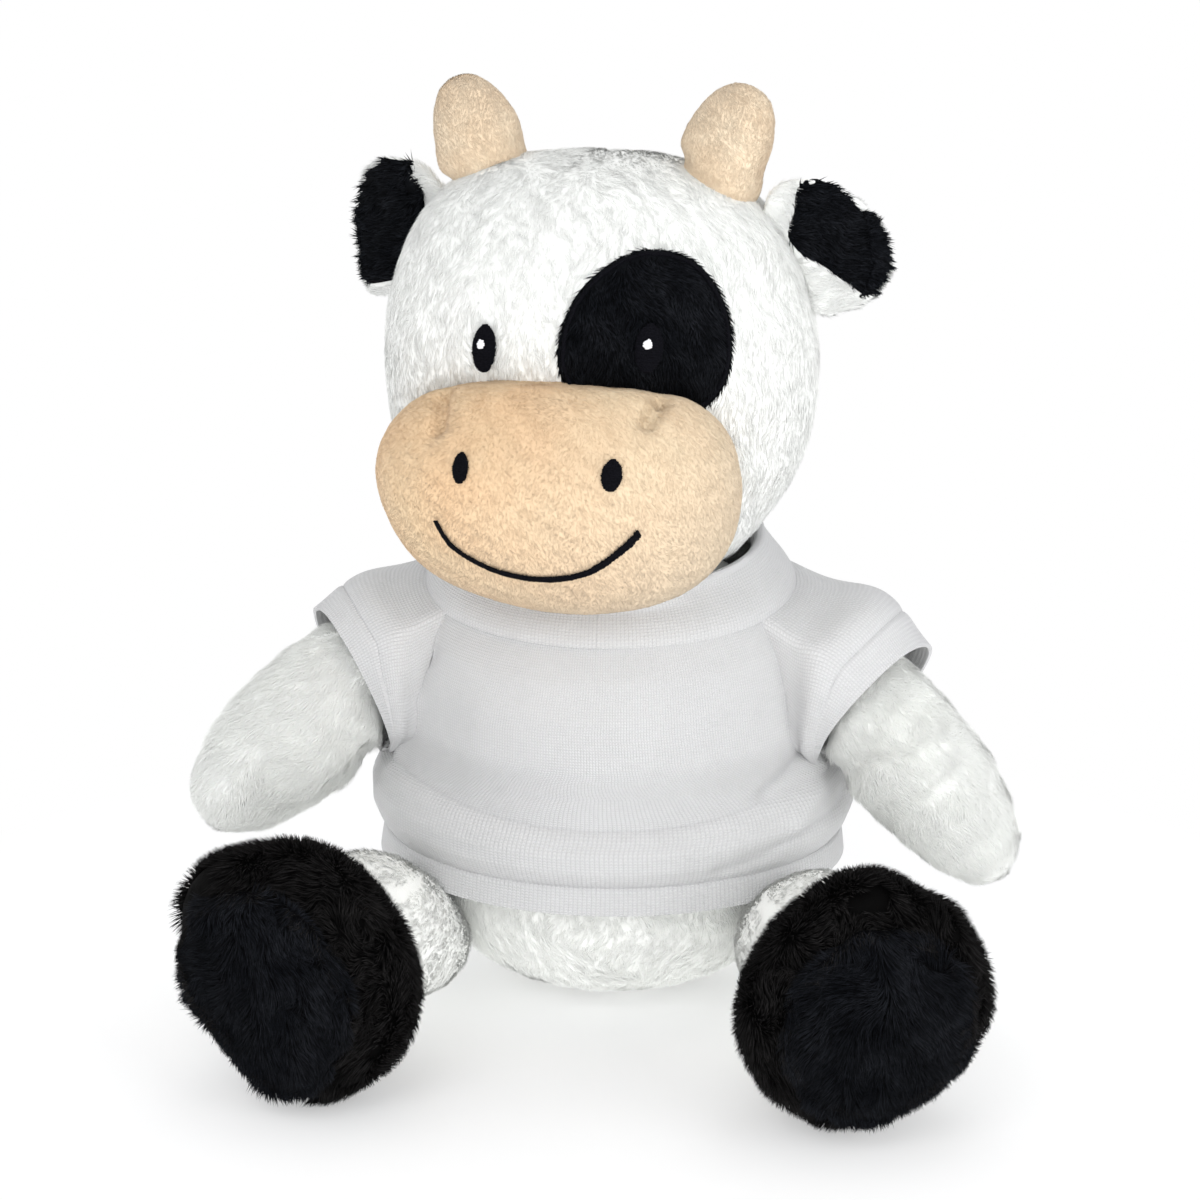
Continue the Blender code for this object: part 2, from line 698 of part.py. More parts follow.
def leg_rings(name, inset):
    """Rings of a leg: a pinched ball at the hip, then a tube to the foot's ring at the ankle."""
    place = aimed(hip(SIDES[name]), leg_direction(name))
    radius = HIP_BALL / 2 - inset
    turns = turns_round(AROUND_LIMB)
    rings = [[place @ Vector((0, 0, -radius))]]
    for step in range(1, HIP_RINGS + 1):
        angle = math.radians(HIP_PINCH_DEG) * step / HIP_RINGS
        wide, ahead = radius * math.sin(angle), -radius * math.cos(angle)
        rings.append([place @ Vector((wide * math.cos(t), wide * math.sin(t), ahead)) for t in turns])
    foot = foot_form(name)
    ankle = []
    for turn in turns:
        point = foot.local(turn, ANKLE_SHARE, inset)
        point.z = foot.half.z * ANKLE_SHARE - GAP
        ankle.append(foot.place @ point)
    root = rings[-1]
    root_middle = place @ Vector((0, 0, ahead))
    ankle_middle = foot.place @ Vector((0, 0, foot.half.z * ANKLE_SHARE - GAP))
    for step in range(1, LEG_RINGS + 1):
        share = step / LEG_RINGS
        middle = root_middle.lerp(ankle_middle, share)
        rings.append([middle + (start - root_middle).lerp(end - ankle_middle, smooth(share))
                      for start, end in zip(root, ankle)])
    return rings


def make_leg(name):
    """A white leg, its ball in the hip and its open end at the ankle."""
    skin_piece = shell("leg_skin_" + name, leg_rings(name, 0), leg_rings(name, PLUSH),
                       MATERIALS["white_plush"])
    core = capped("leg_stuffing_" + name, leg_rings(name, PLUSH + GAP), MATERIALS["stuffing"])
    stand(skin_piece)
    return [skin_piece, core]


def make_foot(name):
    """A black foot: the upper from the ankle to the seam, the sole and the stuffing."""
    form = foot_form(name)
    black = MATERIALS["black_plush"]
    seam = GAP / FOOT_LONG
    spans = ((RINGS_FOOT, ANKLE_SHARE, SOLE_SHARE - seam), (RINGS_FOOT // 2, SOLE_SHARE + seam, 1.0))
    pieces = []
    core = []
    for label, (count, low, high) in zip(("foot_upper_", "foot_sole_"), spans):
        piece = skin(label + name, form, black, AROUND_FOOT, count, low, high)
        stand(piece)
        pieces.append(piece)
        core += form.rings(AROUND_FOOT, inner_count(count), low, high, PLUSH + GAP)
    return pieces + [capped("foot_stuffing_" + name, core, MATERIALS["stuffing"])]


def tail_root():
    """The middle of the tail's root, just off the back of the body."""
    along = (TAIL_HEIGHT - BODY_MIDDLE) / (BODY_TALL / 2)
    back = BODY_DEEP / 2 * BODY.girth(along)
    return Vector((0, back + TAIL_THICK / 2 + GAP, TAIL_HEIGHT))


def make_tail():
    """A white tail with a black tuft, hanging from a round root behind the body."""
    drop = math.radians(TAIL_DROP_DEG)
    ahead = Vector((0, math.cos(drop), -math.sin(drop)))
    cord_place = aimed(tail_root() + ahead * (TAIL_LONG - TAIL_THICK) / 2, ahead)
    cord = Form(TAIL_THICK, TAIL_THICK, TAIL_LONG, cord_place, TAIL_FULLNESS)
    high = 1 - TAIL_THICK / TAIL_LONG
    tail = solid("tail", cord, MATERIALS["white_plush"], AROUND_SMALL, RINGS_SMALL, high=high)
    start = cord_place @ Vector((0, 0, TAIL_LONG / 2 * high + GAP))
    tuft_place = aimed(start + ahead * TUFT_LONG / 2, ahead)
    form = Form(TUFT_WIDE, TUFT_WIDE, TUFT_LONG, tuft_place, TUFT_FULLNESS, TUFT_TAPER_SHARE)
    tuft = solid("tail_tuft", form, MATERIALS["black_plush"], AROUND_SMALL, RINGS_SMALL)
    return [tail, tuft]


def raglan_turn(rise):
    """The angle from the front at which a front panel ends."""
    share = smooth((rise - UNDERARM_SHARES[0]) / (UNDERARM_SHARES[1] - UNDERARM_SHARES[0]))
    return math.radians(SIDE_DEG + (RAGLAN_DEG - SIDE_DEG) * share)


def collar_base(turn):
    """Height of the collar's lower edge, which dips at the front."""
    back = -math.cos(turn) * SHIRT_HALF_DEEP * SHIRT_GIRTH_SHARES[-1][1]
    return COLLAR_HEIGHT + COLLAR_TILT_SHARE * back


def shirt_point(turn, rise):
    """A point on the inside of the shirt: turn from the front, rise from the hem to the collar."""
    girth = read_shares(SHIRT_GIRTH_SHARES, rise)
    height = HEM_HEIGHT + (collar_base(turn) - HEM_HEIGHT) * rise
    x = math.sin(turn) * SHIRT_HALF_WIDE * girth
    y = -math.cos(turn) * SHIRT_HALF_DEEP * girth - SHIRT_LEAN * rise ** 2
    return Vector((x, y, height))


def shirt_rises():
    """Rows of the shirt, closer together over the folds at the waist."""
    low = [row[0] for row in SHIRT_GIRTH_SHARES[:FOLD_ROWS]]
    top = low[-1]
    return low + [top + (1 - top) * (i + 1) / PANEL_RISES for i in range(PANEL_RISES)]


def make_panel(name, facing):
    """The front or the back of the shirt, between its side seams and raglan seams."""
    seam = math.radians(SIDE_SEAM_DEG)
    rows = []
    for rise in shirt_rises():
        edge = raglan_turn(rise) - seam
        turns = [edge * (2 * i / PANEL_COLUMNS - 1) + facing for i in range(PANEL_COLUMNS + 1)]
        rows.append([shirt_point(turn, rise) for turn in turns])
    return cloth(name, rows, KNIT)


def sleeve_root(side):
    """Points just off the armhole, from under the arm up the front, over the top and down."""
    seam = math.radians(SLEEVE_SEAM_DEG)
    rises = [rise for rise in shirt_rises() if rise > UNDERARM_OPEN_SHARE]
    front = [(raglan_turn(rise) + seam, min(rise, SLEEVE_TOP_SHARE)) for rise in rises]
    edge, top = front[-1]
    step = (math.pi - 2 * edge) / (SHOULDER_POINTS + 1)
    over = [(edge + step * (i + 1), top) for i in range(SHOULDER_POINTS)]
    behind = [(math.pi - turn, rise) for turn, rise in reversed(front)]
    under = [(math.pi / 2, UNDERARM_OPEN_SHARE)]
    points = []
    for turn, rise in under + front + over + behind:
        off = Vector((side * math.sin(turn), -math.cos(turn), 0)) * (KNIT + GAP)
        points.append(shirt_point(side * turn, rise) + off)
    return points


def make_sleeve(name):
    """A raglan sleeve from the armhole to a round cuff on the arm."""
    side = SIDES[name]
    ahead = arm_direction(name)
    place = aimed(shoulder(side) + ahead * CUFF_REACH, ahead)
    radius = ARM_WIDE / 2 + CUFF_EASE
    root = sleeve_root(side)
    loops = []
    for step in range(SLEEVE_STEPS + 1):
        share = step / SLEEVE_STEPS
        middle = shoulder(side) + ahead * CUFF_REACH * share
        loop = []
        for i, start in enumerate(root):
            turn = math.pi / 2 - side * 2 * math.pi * i / len(root)
            end = place @ Vector((radius * math.cos(turn), radius * math.sin(turn), 0))
            way = start.lerp(end, share)
            out = (way - middle).normalized()
            over_arm = smooth(1 - abs(1 - 2 * i / len(root)))
            loop.append(way + out * SLEEVE_PUFF * over_arm * share * (1 - share))
        loops.append(loop[::-side])
    return cloth("sleeve_" + name, loops, KNIT, closed=True)


def make_collar():
    """The collar band, a closed ring that leans with the neck."""
    edge = SHIRT_GIRTH_SHARES[-1][1]
    rows = []
    for step in range(COLLAR_STEPS + 1):
        share = step / COLLAR_STEPS
        round_out = COLLAR_ROUND * math.sin(math.pi * share)
        row = []
        for turn in turns_round(COLLAR_AROUND):
            x = math.sin(turn) * (SHIRT_HALF_WIDE * edge + round_out)
            y = -math.cos(turn) * (SHIRT_HALF_DEEP * edge + round_out) - SHIRT_LEAN
            row.append(Vector((x, y, collar_base(turn) + KNIT + GAP + COLLAR_TALL * share)))
        rows.append(row)
    return cloth("collar", rows, COLLAR_THICK, closed=True)


def centre_on_origin(pieces):
    """Carry every piece on one empty and put the middle of their box over the origin."""
    bpy.context.view_layer.update()
    graph = bpy.context.evaluated_depsgraph_get()
    points = []
    for piece in pieces:
        shown = piece.evaluated_get(graph)
        points += [shown.matrix_world @ Vector(corner) for corner in shown.bound_box]
    low = Vector(min(p[i] for p in points) for i in range(3))
    high = Vector(max(p[i] for p in points) for i in range(3))
    toy = bpy.data.objects.new("toy", None)
    bpy.context.scene.collection.objects.link(toy)
    toy.location = (-(low.x + high.x) / 2, -(low.y + high.y) / 2, 0)
    for piece in pieces:
        piece.parent = toy
    return toy.location


def main():
    for old in list(bpy.data.objects):
        bpy.data.objects.remove(old)
    for name in COLOURS:
        MATERIALS[name] = make_material(name)
    pieces = make_body() + make_head() + make_muzzle() + make_face() + [make_smile()]
    for name in SIDES:
        pieces += [make_horn(name)] + make_ear(name) + make_arm(name) + make_leg(name)
        pieces += make_foot(name) + [make_sleeve(name)]
    pieces += make_tail()
    pieces += [make_panel("shirt_front", 0), make_panel("shirt_back", math.pi), make_collar()]
    shift = centre_on_origin(pieces)
    for label, place in (("neck", HEAD_PLACE.translation), ("shoulder", shoulder(1)),
                         ("hip", hip(1)), ("tail root", tail_root())):
        print(label, [round(value, 5) for value in place + shift])


main()
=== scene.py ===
import math

import bmesh
import bpy
import numpy as np
from mathutils import Matrix, Vector
from mathutils.bvhtree import BVHTree


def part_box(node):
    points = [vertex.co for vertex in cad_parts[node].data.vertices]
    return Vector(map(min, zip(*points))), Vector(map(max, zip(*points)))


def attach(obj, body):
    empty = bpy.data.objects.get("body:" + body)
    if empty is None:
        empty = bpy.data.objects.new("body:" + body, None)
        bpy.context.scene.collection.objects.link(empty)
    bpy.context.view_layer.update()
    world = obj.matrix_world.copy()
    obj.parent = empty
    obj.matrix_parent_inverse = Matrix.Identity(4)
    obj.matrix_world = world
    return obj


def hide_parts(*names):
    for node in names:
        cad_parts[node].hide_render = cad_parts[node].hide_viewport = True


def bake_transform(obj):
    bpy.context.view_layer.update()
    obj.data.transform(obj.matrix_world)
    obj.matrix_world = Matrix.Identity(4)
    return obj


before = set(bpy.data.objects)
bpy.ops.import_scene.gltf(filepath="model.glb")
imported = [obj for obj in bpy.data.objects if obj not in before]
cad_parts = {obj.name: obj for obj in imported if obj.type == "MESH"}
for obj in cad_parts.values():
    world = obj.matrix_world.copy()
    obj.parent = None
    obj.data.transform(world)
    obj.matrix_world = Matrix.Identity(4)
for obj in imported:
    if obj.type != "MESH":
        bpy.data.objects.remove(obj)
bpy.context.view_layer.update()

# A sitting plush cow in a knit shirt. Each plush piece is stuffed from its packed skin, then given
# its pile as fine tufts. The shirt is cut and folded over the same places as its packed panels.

MM = 0.001
MERGE = 0.01 * MM
SIDES = {"right": -1, "left": 1}

# The photograph: where it was taken from and the side of its square frame
AZIMUTH, ELEVATION = math.radians(5), math.radians(17)
DISTANCE = 900 * MM
LENS, SENSOR = 135, 36
PHOTO_SIDE = 1200
AIM_FORWARD, AIM_HEIGHT = 31 * MM, 91 * MM

# Stuffing
SIM_SCALE, SIM_PRESSURE, SIM_FRAMES, SIM_BENDING = 10, 120, 20, 0.1
SWELL, SOLE_SWELL, HORN_SWELL, MOST_SWELL = 1.3 * MM, 1.0 * MM, 0.8 * MM, 2.6 * MM
EASE, ARM_EASE, LEG_EASE = 3, 6, 12
FLOOR_ROOM = 0.3 * MM

# Forms: the size of each piece's net and how often it is smoothed; how far a skin is drawn on into
# the piece that it is sewn to; how far a cover stays inside its skin for its pile; how far that
# pile stands out past the traced outlines
NETS = {"head": (2.6 * MM, 4), "muzzle": (2.0 * MM, 4), "body": (3.0 * MM, 5), "arm": (2.0 * MM, 4),
        "leg": (2.0 * MM, 4), "foot": (2.0 * MM, 4), "sole": (1.6 * MM, 3), "horn": (1.2 * MM, 4),
        "ear": (1.0 * MM, 3), "lining": (0.6 * MM, 2), "tail": (0.8 * MM, 3), "tuft": (1.0 * MM, 3)}
REACHES = {"muzzle": 6 * MM, "leg": 4 * MM, "sole": 11 * MM, "horn": 5 * MM}
PILE_ROOM = {"head": 0.7 * MM, "muzzle": 0.3 * MM, "body": 1.0 * MM, "arm": 1.2 * MM,
             "leg": 1.0 * MM, "foot": 2.4 * MM, "sole": 1.5 * MM, "horn": 0.2 * MM}
STANDS_OUT = {"head": 0.8 * MM, "muzzle": 0.4 * MM, "arm": 1.2 * MM, "foot": 2.2 * MM,
              "horn": 0.3 * MM, "ear": 0.9 * MM}

# Where pieces are sewn together: how wide the seam draws in, and how deep
TUCKS = {"horn": (2.5 * MM, 0.8 * MM), "leg": (3 * MM, 0.7 * MM), "body": (3 * MM, 0.9 * MM),
         "muzzle": (2.5 * MM, 0.9 * MM), "head": (3 * MM, 0.8 * MM)}
DART_GROOVES = ((3.4 * MM, 1.0 * MM), (1.6 * MM, 2.4 * MM))
CROWN_GROOVE = (1.0 * MM, 0.35 * MM)
DART_HELD, CROWN_HELD = 2.2 * MM, 2.0 * MM

# Shirt, from the middle of the seat
SHIRT_HALF_WIDE, SHIRT_HALF_DEEP = 49.8 * MM, 44.0 * MM
SHIRT_LEAN = 5 * MM
COLLAR_TILT_SHARE = 0.11
COLLAR_SHARE = 0.735
RAGLAN_TURN, SIDE_TURN = math.radians(58.5), math.radians(90)
RAGLAN_LOW, RAGLAN_HIGH = 47 * MM, 60 * MM
KNIT_THICK = 0.9 * MM
STITCH_WIDE, STITCH_TALL = 0.72 * MM, 0.6 * MM

# Thread
THREAD_WIDE, THREAD_HIGH = 0.42 * MM, 0.34 * MM
THREAD_SLANT = 0.12
SMILE_WIDTHS, BORDER_WIDTHS = (0.9 * MM, 1.4 * MM, 1.7 * MM), (0.9 * MM, 0.9 * MM, 0.9 * MM)

# Appliqué
PATCH_THICK, LINING_THICK = 0.8 * MM, 0.7 * MM
BORDER_SHARE = 0.93

# Pile: how high a tuft's ridge is at its root, as a share of its width
RIDGE_SHARE, BLACK_RIDGE_SHARE = 0.08, 0.35
FLOOR_GAP = 0.2 * MM
BLACK = {"soft": 0, "ridge": BLACK_RIDGE_SHARE}

# How many tufts each kind of piece has, how long and wide they are and how far they stand up
# cloth: the higher it is, the less painted root shade falls on the cloth between the tufts
PILES = {
    "head": {"count": 56000, "long": 2.0 * MM, "wide": 0.295 * MM, "stand": 0.18, "cloth": 0.9},
    "muzzle": {"count": 56000, "long": 0.7 * MM, "wide": 0.21 * MM, "stand": 0.2, "swirl": 0.35,
               "clump": 0.12, "cloth": 0.9},
    "patch": {"count": 9000, "long": 2.0 * MM, "wide": 0.3 * MM, "stand": 0.3, "cloth": 0.2,
              **BLACK},
    "body": {"count": 26000, "long": 2.4 * MM, "wide": 0.28 * MM, "stand": 0.22, "cloth": 0.85},
    "arm": {"count": 24000, "long": 2.6 * MM, "wide": 0.28 * MM, "stand": 0.24, "cloth": 0.85},
    "leg": {"count": 10000, "long": 2.3 * MM, "wide": 0.28 * MM, "stand": 0.22, "cloth": 0.85},
    "foot": {"count": 28000, "long": 3.8 * MM, "wide": 0.36 * MM, "stand": 0.4, "clump": 0.4,
             "cloth": 0, **BLACK},
    "sole": {"count": 16000, "long": 3.4 * MM, "wide": 0.34 * MM, "stand": 0.32, "clump": 0.4,
             "cloth": 0, **BLACK},
    "horn": {"count": 14000, "long": 0.8 * MM, "wide": 0.24 * MM, "stand": 0.2, "cloth": 0.9},
    "ear": {"count": 8000, "long": 1.7 * MM, "wide": 0.26 * MM, "stand": 0.28, "cloth": 0.9},
    "lining": {"count": 4000, "long": 1.9 * MM, "wide": 0.3 * MM, "stand": 0.35, "cloth": 0.2,
               **BLACK},
    "tail": {"count": 3000, "long": 1.6 * MM, "wide": 0.36 * MM, "stand": 0.3},
    "tuft": {"count": 4000, "long": 4 * MM, "wide": 0.4 * MM, "stand": 0.3, **BLACK},
}
SEEDS = {"head": 11, "muzzle": 12, "patch": 13, "body": 14, "arm": 20, "leg": 30, "foot": 40,
         "sole": 50, "horn": 60, "ear": 70, "lining": 80, "tail": 90, "tuft": 91}


def centre_of(node):
    low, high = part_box(node)
    return (low + high) / 2


SEAT = centre_of("pellet_pouch")
SEAT.z = 0
HEAD_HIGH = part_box("head_skin")[1].z
HEAD_TALL = 91 * MM
HEAD_PLACE = (Matrix.Translation((*centre_of("head_skin").xy, HEAD_HIGH - HEAD_TALL / 2))
              @ Matrix.Rotation(math.radians(-8), 4, "Z"))
HEM_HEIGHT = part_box("shirt_front")[0].z
COLLAR_HEIGHT = 87 * MM


# Small tools for meshes

def deselect():
    for piece in bpy.context.selected_objects:
        piece.select_set(False)


def take_up(piece):
    """Select one piece alone, for the next operator."""
    deselect()
    piece.select_set(True)
    bpy.context.view_layer.objects.active = piece


def apply(piece, kind, **settings):
    """Add a modifier with these settings and apply it."""
    take_up(piece)
    modifier = piece.modifiers.new("shaping", kind)
    for name, value in settings.items():
        setattr(modifier, name, value)
    bpy.ops.object.modifier_apply(modifier=modifier.name)


def as_piece(name, data):
    piece = bpy.data.objects.new(name, data)
    bpy.context.scene.collection.objects.link(piece)
    return piece


def from_bmesh(name, mesh):
    data = bpy.data.meshes.new(name)
    mesh.to_mesh(data)
    mesh.free()
    return as_piece(name, data)


def packed(node):
    """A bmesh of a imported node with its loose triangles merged."""
    mesh = bmesh.new()
    mesh.from_mesh(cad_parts[node].data)
    bmesh.ops.remove_doubles(mesh, verts=mesh.verts, dist=MERGE)
    return mesh


def wrapped(name, node, toward=None, reach=0):
    """A closed copy of the outside of a packed skin, drawn on towards a point by this reach."""
    mesh = packed(node)
    if toward is not None:
        for vert in list(mesh.verts):
            mesh.verts.new(vert.co + (toward - vert.co).normalized() * reach)
    hull = bmesh.ops.convex_hull(mesh, input=mesh.verts)
    spare = {item for item in hull["geom_interior"] + hull["geom_unused"]
             if isinstance(item, bmesh.types.BMVert)}
    bmesh.ops.delete(mesh, geom=list(spare), context="VERTS")
    bmesh.ops.dissolve_limit(mesh, angle_limit=math.radians(0.5), verts=mesh.verts,
                             edges=mesh.edges)
    bmesh.ops.triangulate(mesh, faces=mesh.faces)
    bmesh.ops.recalc_face_normals(mesh, faces=mesh.faces)
    return from_bmesh(name, mesh)


def coords(piece):
    flat = np.empty(len(piece.data.vertices) * 3)
    piece.data.vertices.foreach_get("co", flat)
    return flat.reshape(-1, 3)


def normals(piece):
    flat = np.empty(len(piece.data.vertices) * 3, np.float32)
    piece.data.vertex_normals.foreach_get("vector", flat)
    return flat.reshape(-1, 3).astype(float)


def set_coords(piece, points):
    piece.data.vertices.foreach_set("co", np.ascontiguousarray(points, np.float32).ravel())
    piece.data.update()


def tree_of(*pieces):
    """A search tree of pieces as they now are."""
    mesh = bmesh.new()
    for piece in pieces:
        mesh.from_mesh(piece.data)
    tree = BVHTree.FromBMesh(mesh)
    mesh.free()
    return tree


def unit(vectors):
    return vectors / np.maximum(np.linalg.norm(vectors, axis=-1, keepdims=True), 1e-12)


def eased(share):
    share = np.clip(share, 0, 1)
    return share * share * (3 - 2 * share)


def lengths_along(points):
    """How far each point of a line lies along it."""
    return np.concatenate(([0], np.cumsum(np.linalg.norm(np.diff(points, axis=0), axis=1))))


def waves(points, size, seed):
    """Three smooth values that wander over points, with swings about this size across."""
    random = np.random.default_rng(seed)
    total = np.zeros((len(points), 3))
    for _ in range(7):
        way = unit(random.normal(size=3)) * random.uniform(0.6, 1.5) * math.tau / size
        total += np.sin(points @ way + random.uniform(0, math.tau))[:, None] * random.normal(size=3)
    return total / 2.6


def gap_to(tree, points):
    """How far points lie outside a closed surface; negative inside."""
    result = np.empty(len(points))
    for i, point in enumerate(points):
        near, normal, _, distance = tree.find_nearest(point)
        outside = (Vector(point) - near).dot(normal) >= 0
        result[i] = distance if outside else -distance
    return result


def along_line(points, line):
    """The distance of points from a line of points."""
    line = np.array([tuple(p) for p in line])
    best = np.full(len(points), np.inf)
    for start, stop in zip(line, line[1:]):
        step = stop - start
        share = np.clip((points - start) @ step / (step @ step), 0, 1)
        best = np.minimum(best, np.linalg.norm(points - start - share[:, None] * step, axis=1))
    return best


# The photographer's eye

def make_camera():
    data = bpy.data.cameras.new("camera")
    data.lens = LENS
    data.sensor_width = SENSOR
    data.clip_start = 50 * MM
    holder = as_piece("camera", data)
    flat = math.cos(ELEVATION)
    back = Vector((math.sin(AZIMUTH) * flat, -math.cos(AZIMUTH) * flat, math.sin(ELEVATION)))
    holder.location = SEAT + Vector((0, -AIM_FORWARD, AIM_HEIGHT)) + back * DISTANCE
    holder.rotation_euler = back.to_track_quat("Z", "Y").to_euler()
    bpy.context.scene.camera = holder
    bpy.context.view_layer.update()
    return holder


def seen(x, y, tree):
    """The point and normal of a piece at a pixel of the photograph."""
    turn = camera.matrix_world.to_3x3()
    way = turn @ Vector(((x / PHOTO_SIDE - 0.5) * SENSOR, (0.5 - y / PHOTO_SIDE) * SENSOR, -LENS))
    point, normal, _, _ = tree.ray_cast(camera.location, way.normalized())
    if point is None:
        point, normal, _, _ = tree.find_nearest(camera.location + way.normalized() * DISTANCE)
    return point, normal


def seen_line(pixels, tree):
    return [seen(x, y, tree)[0] for x, y in pixels]


def to_pixels(points):
    """Where points show in the photograph, and how far they lie before the lens."""
    turn = np.array(camera.matrix_world.to_3x3())
    local = (points - np.array(camera.location)) @ turn
    ahead = -local[:, 2]
    scale = LENS / SENSOR * PHOTO_SIDE / ahead
    return np.stack((PHOTO_SIDE / 2 + local[:, 0] * scale,
                     PHOTO_SIDE / 2 - local[:, 1] * scale), axis=1), ahead


def from_pixels(pixels, ahead):
    turn = np.array(camera.matrix_world.to_3x3())
    scale = LENS / SENSOR * PHOTO_SIDE / ahead
    local = np.stack(((pixels[:, 0] - PHOTO_SIDE / 2) / scale,
                      (PHOTO_SIDE / 2 - pixels[:, 1]) / scale, -ahead), axis=1)
    return local @ turn.T + np.array(camera.location)


def round_reach(offsets, bins):
    """The greatest distance of offsets at each turn round their middle; nan where there is none."""
    turn = (np.arctan2(offsets[:, 1], offsets[:, 0]) / math.tau * bins).astype(int) % bins
    reach = np.full(bins, np.nan)
    for i in range(bins):
        here = np.linalg.norm(offsets[turn == i], axis=1)
        if len(here):
            reach[i] = here.max()
    return reach


def fit(pieces, outline, pile, most=0.2, bins=120, widest_step=90, still_share=0.35):
    """Draw pieces in the camera's plane until their outline meets one traced in the photograph.

    The outline may be open: elsewhere the pieces keep their shape. pile is how far the pile will
    stand out beyond the pieces.
    """
    outline = np.array(outline, float)
    shapes = [to_pixels(coords(piece)) for piece in pieces]
    every = np.concatenate([pixels for pixels, _ in shapes])
    middle = (every.min(axis=0) + every.max(axis=0)) / 2
    own = round_reach(every - middle, bins)
    dense = [outline[:1]]
    for a, b in zip(outline, outline[1:]):
        if np.linalg.norm(b - a) < widest_step:
            dense.append(a + (b - a) * np.linspace(0, 1, 40)[1:, None])
    goal = round_reach(np.concatenate(dense) - middle, bins)
    per_metre = LENS / SENSOR * PHOTO_SIDE / DISTANCE
    ratio = (goal - pile * per_metre) / own
    ratio = np.where(np.isnan(ratio), 1, np.clip(ratio, 1 - most, 1 + most))
    kernel = np.exp(-(np.arange(-12, 13) / 3.5) ** 2)
    ratio = np.convolve(np.tile(ratio, 3), kernel / kernel.sum(), "same")[bins:2 * bins]
    for piece, (pixels, ahead) in zip(pieces, shapes):
        offset = pixels - middle
        turn = np.arctan2(offset[:, 1], offset[:, 0]) / math.tau * bins
        here = np.interp(turn % bins, np.arange(bins + 1), np.append(ratio, ratio[0]))
        near = eased(np.linalg.norm(offset, axis=1) / (still_share * np.nanmean(own)))
        moved = from_pixels(middle + offset * (1 + (here - 1) * near)[:, None], ahead)
        moved[:, 2] = np.maximum(moved[:, 2], FLOOR_ROOM)
        set_coords(piece, moved)


# Stuffed pieces

def soften(piece, voxel, passes):
    """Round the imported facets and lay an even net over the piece."""
    take_up(piece)
    bpy.ops.object.mode_set(mode="EDIT")
    bpy.ops.mesh.select_all(action="SELECT")
    bpy.ops.mesh.subdivide(number_cuts=2, smoothness=1)
    bpy.ops.object.mode_set(mode="OBJECT")
    apply(piece, "REMESH", mode="VOXEL", voxel_size=voxel)
    apply(piece, "SMOOTH", factor=0.5, iterations=passes)
    return piece


def cut_skin(kind, name, node, toward=None):
    """A softened cover over a packed skin."""
    return soften(wrapped(name, node, toward, REACHES.get(kind, 0)), *NETS[kind])


def cut_solid(kind, name, node):
    """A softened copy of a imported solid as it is."""
    return soften(from_bmesh(name, packed(node)), *NETS[kind])


def blown(piece, start, held_share, swell):
    """How far a cover moves from its start when stuffing presses it out against its seams."""
    set_coords(piece, start * SIM_SCALE)
    seams = piece.vertex_groups.new(name="seams")
    for i in np.nonzero(held_share > 0.02)[0]:
        seams.add([int(i)], float(held_share[i]), "REPLACE")
    cover = piece.modifiers.new("stuffing", "CLOTH")
    cover.settings.use_pressure = True
    cover.settings.uniform_pressure_force = SIM_PRESSURE
    cover.settings.effector_weights.gravity = 0
    cover.settings.vertex_group_mass = "seams"
    cover.settings.bending_stiffness = SIM_BENDING
    for step in range(1, SIM_FRAMES + 1):
        bpy.context.scene.frame_set(step)
    full = piece.evaluated_get(bpy.context.evaluated_depsgraph_get())
    moved = coords(full) / SIM_SCALE - start
    piece.modifiers.remove(cover)
    piece.vertex_groups.remove(seams)
    bpy.context.scene.frame_set(1)
    moved *= swell / max(np.percentile(np.linalg.norm(moved, axis=1), 70), 1e-6)
    length = np.linalg.norm(moved, axis=1)
    return moved * np.minimum(1, MOST_SWELL / np.maximum(length, 1e-9))[:, None]


def stuff(piece, pile, held=None, swell=SWELL, ease=EASE):
    """Blow the cover up against its seams. held gives each point's share of being sewn down.

    pile is how far the piece stays inside its packed outside, to leave room for its pile.
    """
    start = coords(piece) - normals(piece) * (swell + pile)
    held_share = np.zeros(len(start)) if held is None else np.clip(held(start), 0, 1)
    moved = blown(piece, start, held_share, swell)
    set_coords(piece, start + moved)
    apply(piece, "SMOOTH", factor=0.5, iterations=ease)
    apply(piece, "SUBSURF", levels=1, render_levels=1)


def draw_in(piece, share, depth):
    """Move points inwards along their normals by a share of this depth."""
    set_coords(piece, coords(piece) - normals(piece) * (share * depth)[:, None])


def groove(piece, line, wide, depth):
    """A sewn line drawn into a piece."""
    draw_in(piece, np.exp(-(along_line(coords(piece), line) / wide) ** 2), depth)


def dent(piece, centre, wide, depth):
    away = np.linalg.norm(coords(piece) - np.array(tuple(centre)), axis=1)
    draw_in(piece, np.exp(-(away / wide) ** 2), depth)


def tuck(piece, neighbour, wide, depth):
    """Draw a piece in where it is sewn to its neighbour."""
    gap = gap_to(neighbour, coords(piece))
    draw_in(piece, np.exp(-(np.maximum(gap, 0) / wide) ** 2) * (gap > -wide), depth)


# Pile

def box_map(points, axes, low, span):
    """Places on the bake's map: each of six directions has its own cell."""
    first = np.array((1, 0, 0))[axes % 3]
    second = np.array((2, 2, 1))[axes % 3]
    rows = np.arange(len(points))
    u = (points[rows, first] - low[first]) / span[first]
    v = (points[rows, second] - low[second]) / span[second]
    return np.stack(((axes % 3 + 0.03 + 0.94 * u) / 3, (axes // 3 + 0.03 + 0.94 * v) / 2), axis=1)


def main_way(normal):
    """The nearest of six directions: 0 to 2 for X to Z, and 3 more if backwards."""
    axis = np.abs(normal).argmax(axis=1)
    return axis + 3 * (normal[np.arange(len(normal)), axis] < 0)


def add_bake_map(data, places):
    layer = data.uv_layers.new(name="OFBake")
    layer.data.foreach_set("uv", places.astype(np.float32).ravel())


